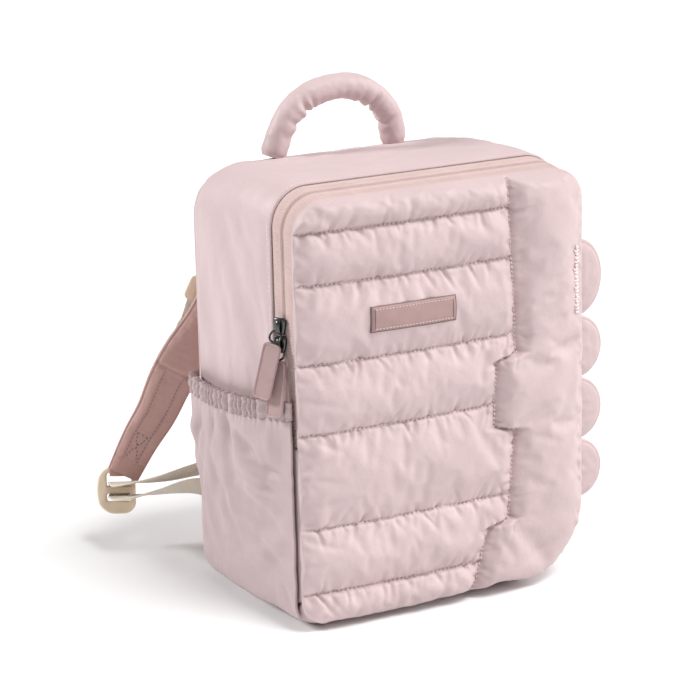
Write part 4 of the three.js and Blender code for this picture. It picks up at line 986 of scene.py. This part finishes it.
def strap_route():
    start = array([-46, BACK_FLAT + GAP + STRAP_PAD / 2, HEIGHT * 0.945])
    near = BUCKLE_THICK / 2 + 2 * WEB_THICK - GAP + STRAP_END_PAD / 2
    end = at_buckle(-12.5, near) + BUCKLE_ACROSS * 4
    way = array([(0, 0, 0), (0.08, 0.02, 0.08), (0.24, 0.07, 0.24), (0.37, 0.16, 0.4), (0.46, 0.28, 0.49),
                 (0.58, 0.44, 0.58), (0.67, 0.6, 0.67), (0.76, 0.78, 0.79), (0.87, 0.89, 0.88), (1, 1, 1)])
    turned = lambda share: unit(mix(array([1.0, 0, 0]), BUCKLE_ACROSS, clamp(share / 0.5)[:, None]))
    return route_frames(start + (end - start) * way, 230, turned)


def strap_profiles(share, w):
    """The strap's section at shares of its length, with its edges at -1 and 1."""
    wide = mix(mix(44, 37, clamp(share / 0.4)), 26, clamp((share - 0.6) / 0.4) ** 1.2)
    thick = mix(STRAP_PAD, STRAP_END_PAD, clamp((share - 0.8) / 0.2))
    band = smooth((share - STRAP_FOLD) / 0.02) * smooth((1 - share) / 0.03)
    centre = bell(w, 0.40, 6)
    side = np.abs(w)
    body = (1 - side ** 3.2) ** 0.55 * (1 - 0.42 * band * centre) - 0.26 * band * bell(side - 0.42, 0.05)
    fold = 0.34 * bell(share - STRAP_FOLD, 0.0065) + 0.4 * bell(share - TIP_FOLD, 0.006)
    box = 0.12 * band * centre * ((share > BOX_START) & (share < BOX_END))
    bound = 0.16 * bell(side - 0.965, 0.035) - 0.12 * bell(side - 0.90, 0.03)
    height = maximum(body * (1 - fold) + bound - box, 0.07) * thick / 2
    puff = 1 + 0.05 * sin(share * 61) + 0.04 * sin(share * 97 + 2)
    top, bottom = [stack([w * wide / 2, rise], -1) for rise in (height * puff, -height)]
    return concatenate([top, bottom[:, -2:0:-1]], 1)


def shoulder_straps():
    at, across, out = strap_route()
    share, w = linspace(0, 1, len(at)), sin(linspace(-pi / 2, pi / 2, 45))
    rings = rings_round(at, across, out, strap_profiles(share[:, None], w))
    rings = rings + out[:, None] * (0.45 * ripple(rings, 20, 101) + 0.25 * ripple(rings, 8, 102))[..., None]
    sides = rings.shape[1]
    nearest = lambda values, value: int(np.argmin(np.abs(values - value)))
    keep = np.nonzero((share > STRAP_FOLD + 0.01) & (share < TIP_FOLD))[0]
    inner, outer = nearest(w, -0.36), nearest(w, 0.36)
    first, last = nearest(share, BOX_START), nearest(share, BOX_END)
    for name, flip in SIDES:
        piece = tube_piece(f"strap_{name}", rings * flip, strap_cloth)
        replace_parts(piece, f"shoulder_strap_{name}")
        for face_name, sign in (("front", 1), ("rear", -1)):
            for edge_name, edge in (("in", -0.42), ("out", 0.42)):
                column = sign * nearest(w, edge) % sides
                stitch_row(f"strap_stitches_{name}_{face_name}_{edge_name}", rings[keep, column] * flip,
                           out[keep] * flip * sign, thick=0.4, material=strap_shaded_thread)
        # The box and cross that hold the strap's end
        lines = [(first, inner, last, outer), (first, outer, last, inner), (first, inner, first, outer)]
        for k, (row, column, last_row, last_column) in enumerate(lines):
            steps = linspace(0, 1, 14)
            rows = np.round(mix(row, last_row, steps)).astype(int)
            columns = sides - np.round(mix(column, last_column, steps)).astype(int)
            stitch_row(f"strap_box_{name}_{k + 1}", rings[rows, columns] * flip, -out[first] * flip, pitch=3.0,
                       long=2.1, thick=0.4, material=strap_shaded_thread)
    return at, across, out


def flat_profile(wide, thick, crown=0.0):
    edge = thick / 2
    arc = linspace(-pi / 2, pi / 2, 7)
    across = linspace(0.7, -0.7, 7)
    right = stack([wide / 2 - edge + edge * cos(arc), edge * sin(arc)], -1)
    top = stack([across * wide / 2, edge + crown * (1 - across ** 2)], -1)
    return concatenate([right, top, -right, -top])


def buckle_ties():
    """The cloth loops that tie the buckles' top bars to the straps."""
    middle, reach_down, reach_out = -16.15, 4.65, 3.4
    angle = linspace(0, 2 * pi, 64, endpoint=False)[:, None]
    profile = flat_profile(14.5, WEB_THICK, crown=0.15)
    squared = lambda v, reach: (np.sign(v) * sqrt(np.abs(v)) * (reach + profile[:, 1]))[..., None]
    points = at_buckle(middle + squared(cos(angle), reach_down), squared(sin(angle), reach_out))
    points = points + BUCKLE_ACROSS * profile[:, :1]
    for name, flip in SIDES:
        piece = make(f"strap_tie_{name}", points * flip, grid_faces(64, len(profile), True, True), strap_cloth)
        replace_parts(outward(piece), f"buckle_loop_{name}")


def strap_webbing():
    root = array([-HALF * 0.65, BACK_FLAT + GAP + WEB_THICK / 2, HEIGHT * 0.165])
    between = lambda side, back, lift: root + (BUCKLE_MIDDLE - root) * [side, back, back] + [0, 0, lift]
    radius, aside = 5.6 / 2 + WEB_THICK + 1.2, BUCKLE_ACROSS * 6
    beside = lambda down: [at_buckle(down, 24) + aside, at_buckle(down, 12) + aside * 0.3, at_buckle(down, 5)]
    loop = [at_buckle(radius * cos(a), -radius * sin(a) * 0.9) for a in linspace(0, pi, 7)]
    controls = [root, root + [-14, 0.2, 0], between(0.46, 0.16, 7), between(0.76, 0.42, 3), *beside(radius), *loop,
                *beside(-radius)[::-1], between(0.76, 0.46, 13), between(0.46, 0.34, 17), between(0.28, 0.28, 19)]
    # The width's direction along the way: the share, then X, Y and Z
    turn = array([(0, 0, 0, 1), (0.12, -0.2, -0.15, 0.97), (0.28, -0.72, -0.54, 0.45), (0.4, -0.8, -0.6, 0.05),
                  (0.47, -0.87, 0.49, 0), (0.61, -0.87, 0.49, 0), (0.68, -0.8, -0.6, 0.05),
                  (0.8, -0.74, -0.56, 0.35), (1, -0.55, -0.4, 0.75)])
    to_buckle = np.linalg.norm(curve_through(controls, 300) - BUCKLE_MIDDLE, axis=1)
    by_buckle = smooth((27 - to_buckle) / 13)[:, None]

    def across_at(share):
        free = unit(stack([np.interp(share, turn[:, 0], turn[:, k]) for k in (1, 2, 3)], -1))
        return unit(mix(free, -BUCKLE_ACROSS, by_buckle))

    rings = rings_round(*route_frames(controls, 300, across_at), flat_profile(17.5, WEB_THICK))
    for name, flip in SIDES:
        piece = tube_piece(f"webbing_{name}", rings * flip, webbing_cloth)
        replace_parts(piece, f"strap_webbing_{name}")


def rounded_loop(wide, high, radius, steps=8, middle=(0, 0)):
    points = []
    for sx, sy, start in ((1, -1, -90), (1, 1, 0), (-1, 1, 90), (-1, -1, 180)):
        angle = np.radians(start + 90 * linspace(0, 1, steps + 1))
        points.append(stack([middle[0] + sx * (wide / 2 - radius) + radius * cos(angle),
                             middle[1] + sy * (high / 2 - radius) + radius * sin(angle)], 1))
    return concatenate(points)


def evenly(loop):
    """A closed outline with 120 evenly spaced points."""
    return even(concatenate([loop, loop[:1]]), 121)[:-1]


def plate(name, loops, thick, bevel, place, material):
    """A plate with bevelled edges from closed outlines, the first outside and the others holes. It lies in the
    place's X and Y, with its middle at the place's origin."""
    data = bpy.data.curves.new(name, "CURVE")
    data.dimensions = "2D"
    data.fill_mode = "BOTH"
    for loop in loops:
        spline = data.splines.new("POLY")
        spline.points.add(len(loop) - 1)
        for point, (x, y) in zip(spline.points, loop):
            point.co = (x, y, 0, 1)
        spline.use_cyclic_u = True
    data.extrude = thick / 2 - bevel
    data.bevel_depth = bevel
    data.bevel_resolution = 3
    data.offset = -bevel
    helper = bpy.data.objects.new(name + "_outline", data)
    scene.collection.objects.link(helper)
    mesh = bpy.data.meshes.new_from_object(helper.evaluated_get(bpy.context.evaluated_depsgraph_get()))
    bpy.data.objects.remove(helper)
    mesh.transform(Matrix.Scale(MM, 4))
    mesh.transform(place)
    mesh.name = name
    piece = added(name, mesh, material)
    mesh.set_sharp_from_angle(angle=radians(50))
    return piece


def placed(origin, x, y, z):
    matrix = Matrix([list(x), list(y), list(z)]).transposed().to_4x4()
    matrix.translation = Vector([float(v) * MM for v in origin])
    return matrix


def buckles():
    outline = evenly(rounded_loop(26, 38, 9.4, steps=16))
    # Its outer side is bowed
    outline[:, 0] -= 4.6 * clamp(-outline[:, 0] / 9) * (1 - (outline[:, 1] / 19) ** 2)
    loops = [outline, *[rounded_loop(19.5, high, 2, middle=(0, at)) for high, at in ((10.5, 8.05), (6.2, -5.9))]]
    for name, flip in SIDES:
        across = BUCKLE_ACROSS * flip * flip[0]
        place = placed(BUCKLE_MIDDLE * flip, across, -BUCKLE_DOWN * flip, TOWARD_BAG * flip)
        piece = plate(f"ladder_lock_{name}", loops, BUCKLE_THICK + 1.6, 1.5, place, buckle_plastic)
        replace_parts(piece, f"buckle_{name}")


def chest_strap(at, across, out):
    tag_thick, web_thick, drop, clasp, steps = 3, 1.5, 74, 30, 18
    # The tags lie at the first of the even steps along the strap that is below this height
    heights = np.interp(linspace(0, 1, steps + 1), linspace(0, 1, len(at)), at[:, 2])
    k = int(round(int(np.argmax(heights < HEIGHT * 0.66)) / steps * (len(at) - 1)))
    side, facing = across[k], out[k] * np.sign(out[k][1])
    up = unit(cross(side, facing))
    up = up * np.sign(up[2])
    tag_middle = at[k] + facing * (STRAP_PAD / 2 + 3 * GAP + tag_thick / 2) - side * 13
    leave = tag_middle + facing * (tag_thick / 2 + GAP + web_thick / 2)
    x, y, z = leave
    controls = [leave + up * 6, leave, leave + [-2, 15, -0.36 * drop], leave + [-3, 26, -0.56 * drop],
                leave + [14, 33, -0.8 * drop], (x / 2, y + 35, z - drop + 3), (-clasp / 2 - 3 * GAP, y + 34, z - drop)]
    turned = lambda s: unit(mix(side, array([0, -1, -0.3]), clamp((s - 0.25) * 3)[:, None]))
    middle, sideways, face = route_frames(controls, 120, turned)
    rings = rings_round(middle, sideways, face, flat_profile(20, web_thick))
    for name, flip in SIDES:
        piece = tube_piece(f"sternum_webbing_{name}", rings * flip, webbing_cloth)
        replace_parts(piece, f"chest_webbing_{name}")
        x, z = side * flip * flip[0], facing * flip
        place = placed(tag_middle * flip, x, cross(z, x), z)
        tag = plate(f"sternum_tag_{name}", [rounded_loop(26, 20, 4)], tag_thick, 0.9, place, buckle_plastic)
        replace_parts(tag, f"chest_tag_{name}")
    along, clasp_up = sideways[-1], unit(cross([1, 0, 0], sideways[-1]))
    for name, sign in (("socket", -1), ("plug", 1)):
        place = placed([sign * (clasp / 4 + GAP / 2), *middle[-1][1:]], [1, 0, 0], along, clasp_up)
        half = plate(f"clasp_{name}", [rounded_loop(clasp / 2 - GAP, 26, 3.6)], 8, 2.2, place, buckle_plastic)
        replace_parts(half, f"chest_{name}")


# ---- the sliders and their pulls


def at_place(points, place):
    return points @ array(place.to_3x3()).T + array(place.translation) / MM


def wire_ring(name, line, thick, place, material):
    """A round wire along a closed flat line."""
    sideways = cross(unit(np.roll(line, -1, 0) - np.roll(line, 1, 0)), [0, 0, 1])
    turn = linspace(0, 2 * pi, 12, endpoint=False)[:, None]
    points = line[:, None] + thick * (sideways[:, None] * cos(turn) + array([0, 0, 1]) * sin(turn))
    return outward(make(name, at_place(points, place), grid_faces(len(line), 12, True, True), material))


def sliders():
    coil_middle, wire, ring_radius, tab_tall = FRONT + TAPE + GAP + COIL / 2, 0.9, 4.3, 40.5
    face_x = 0.4 - HALF - GAP - 3.8
    ring_out = face_x - GAP - wire
    to_face = placed((0, 0, 0), (0, -1, 0), (0, 0, 1), (-1, 0, 0))
    at = lambda x, z: Matrix.Translation(Vector((x, coil_middle, z)) * MM) @ to_face
    turn = lambda degrees, axis: Matrix.Rotation(radians(degrees), 4, axis)
    outline = [(-3.2, -6.2), (3.2, -6.2), (4.9, 0.4), (5.2, 3.2), (4.8, 5), (3.6, 6.2), (-3.6, 6.2), (-4.8, 5),
               (-5.2, 3.2), (-4.9, 0.4)]
    arc, angle = linspace(0, pi, 25), linspace(0, 2 * pi, 12, endpoint=False)
    bridge = xyz(0, 4.6 * cos(arc), 1.0 + 2.6 * sin(arc) ** 0.7)
    side = np.tile([1.0, 0, 0], (len(arc), 1))
    profile = stack([1.9 * cos(angle), 0.7 * sin(angle)], -1)
    bridge_rings = rings_round(bridge, side, cross(side, unit(np.gradient(bridge, axis=0))), profile)
    loop = linspace(0, 2 * pi, 48, endpoint=False)
    circle = ring_radius * xyz(cos(loop), sin(loop), 0)
    rim = evenly(rounded_loop(13.6, 39.1, 2.9))
    rim = xyz(*rim.T, 0.75)
    # How each pull hangs: its lean, its tilt and its turn in degrees, and how far its foot is off the bag
    hangs = [("upper", 4, 12, 26, 2.2 + wire + 2 * GAP), ("lower", -8, 13, 18, 0.0)]
    for number, (name, lean, tilt, turned, away) in enumerate(hangs):
        height = HEIGHT * 0.714 - 13 * number
        place = at(face_x + wire, height) @ turn(30, "Y")
        body = plate(f"zip_slider_{name}", [outline], 3.2, 1.2, place, gunmetal)
        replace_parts(body, f"slider_{name}")
        # The bridge holds the ring
        tube_piece(f"slider_bridge_{name}", at_place(bridge_rings, place), gunmetal)
        ring_height = height - 6 - wire
        place = (at(ring_out - away / 2, ring_height) @ turn(42, "Y") @ Matrix.Rotation(-asin(away / 9), 4, "X"))
        ring = wire_ring(f"pull_loop_{name}", circle, 0.85, place, gunmetal)
        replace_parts(ring, f"pull_ring_{name}")
        place = (at(ring_out - away, ring_height - 3.6 - wire - GAP) @ turn(-tilt, "X") @ turn(turned, "Y")
                 @ turn(-lean, "Z") @ Matrix.Translation(Vector((0, -tab_tall / 2 * MM, 0))))
        tab = plate(f"pull_{name}", [rounded_loop(15, tab_tall, 3.4)], 1.7, 0.55, place, rubber)
        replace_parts(tab, f"pull_tab_{name}")
        wire_ring(f"pull_rim_{name}", rim, 0.8, place, rubber)


# ---- camera, floor and light


def studio():
    # The camera as fitted to the photo: its turn, height and roll in degrees, and its place in millimetres
    turned, raised, roll = np.radians([-28.91, 15.42, -1.35])
    back = array([sin(turned) * cos(raised), -cos(turned) * cos(raised), sin(raised)])
    right = unit(cross([0, 0, 1], back))
    up = cross(back, right)
    across, above = right * cos(roll) + up * sin(roll), up * cos(roll) - right * sin(roll)
    data = bpy.data.cameras.new("camera")
    data.sensor_width = 36
    data.lens = 36 * 2500 / 700
    data.clip_end = 50
    camera = bpy.data.objects.new("camera", data)
    scene.collection.objects.link(camera)
    camera.matrix_world = placed((-900.25, -1573.6, 675.19), across, above, back)
    scene.camera = camera

    far = 9.0
    data = bpy.data.meshes.new("floor")
    data.from_pydata([(-far, -far, 0), (far, -far, 0), (far, far, 0), (-far, far, 0)], [], [(0, 1, 2, 3)])
    floor = bpy.data.objects.new("floor", data)
    scene.collection.objects.link(floor)
    material = bpy.data.materials.new("floor")
    material.use_nodes = True
    inputs = material.node_tree.nodes["Principled BSDF"].inputs
    inputs["Base Color"].default_value = (0.88, 0.88, 0.88, 1)
    inputs["Roughness"].default_value = 0.9
    inputs["Specular IOR Level"].default_value = 0.1
    data.materials.append(material)

    world = bpy.data.worlds.new("studio")
    world.use_nodes = True
    world.node_tree.nodes["Background"].inputs["Color"].default_value = (1, 1, 1, 1)
    world.node_tree.nodes["Background"].inputs["Strength"].default_value = 0.25
    scene.world = world
    scene.view_settings.view_transform = "Standard"

    # Wide soft lights: where each comes from, its spread in degrees and its strength
    lights = {"key": ((0.2, -0.5, 1.0), 22, 2.0), "right": ((0.9, -0.45, 0.6), 40, 2.0),
              "left": ((-0.7, 0.5, 0.5), 14, 2.4)}
    for name, (place, spread, strength) in lights.items():
        data = bpy.data.lights.new(name, "SUN")
        data.angle = radians(spread)
        data.energy = strength
        lamp = bpy.data.objects.new(name, data)
        scene.collection.objects.link(lamp)
        lamp.location = place
        lamp.rotation_euler = Vector(place).to_track_quat("Z", "Y").to_euler()


studio()
walls()
zip_parts()
face = front_panel()
quilt_stitches(face)
label_patch(face)
side_pocket()
scallop_pieces(face)
carry_handle()
back_panel()
strap = shoulder_straps()
strap_webbing()
buckle_ties()
buckles()
chest_strap(*strap)
sliders()
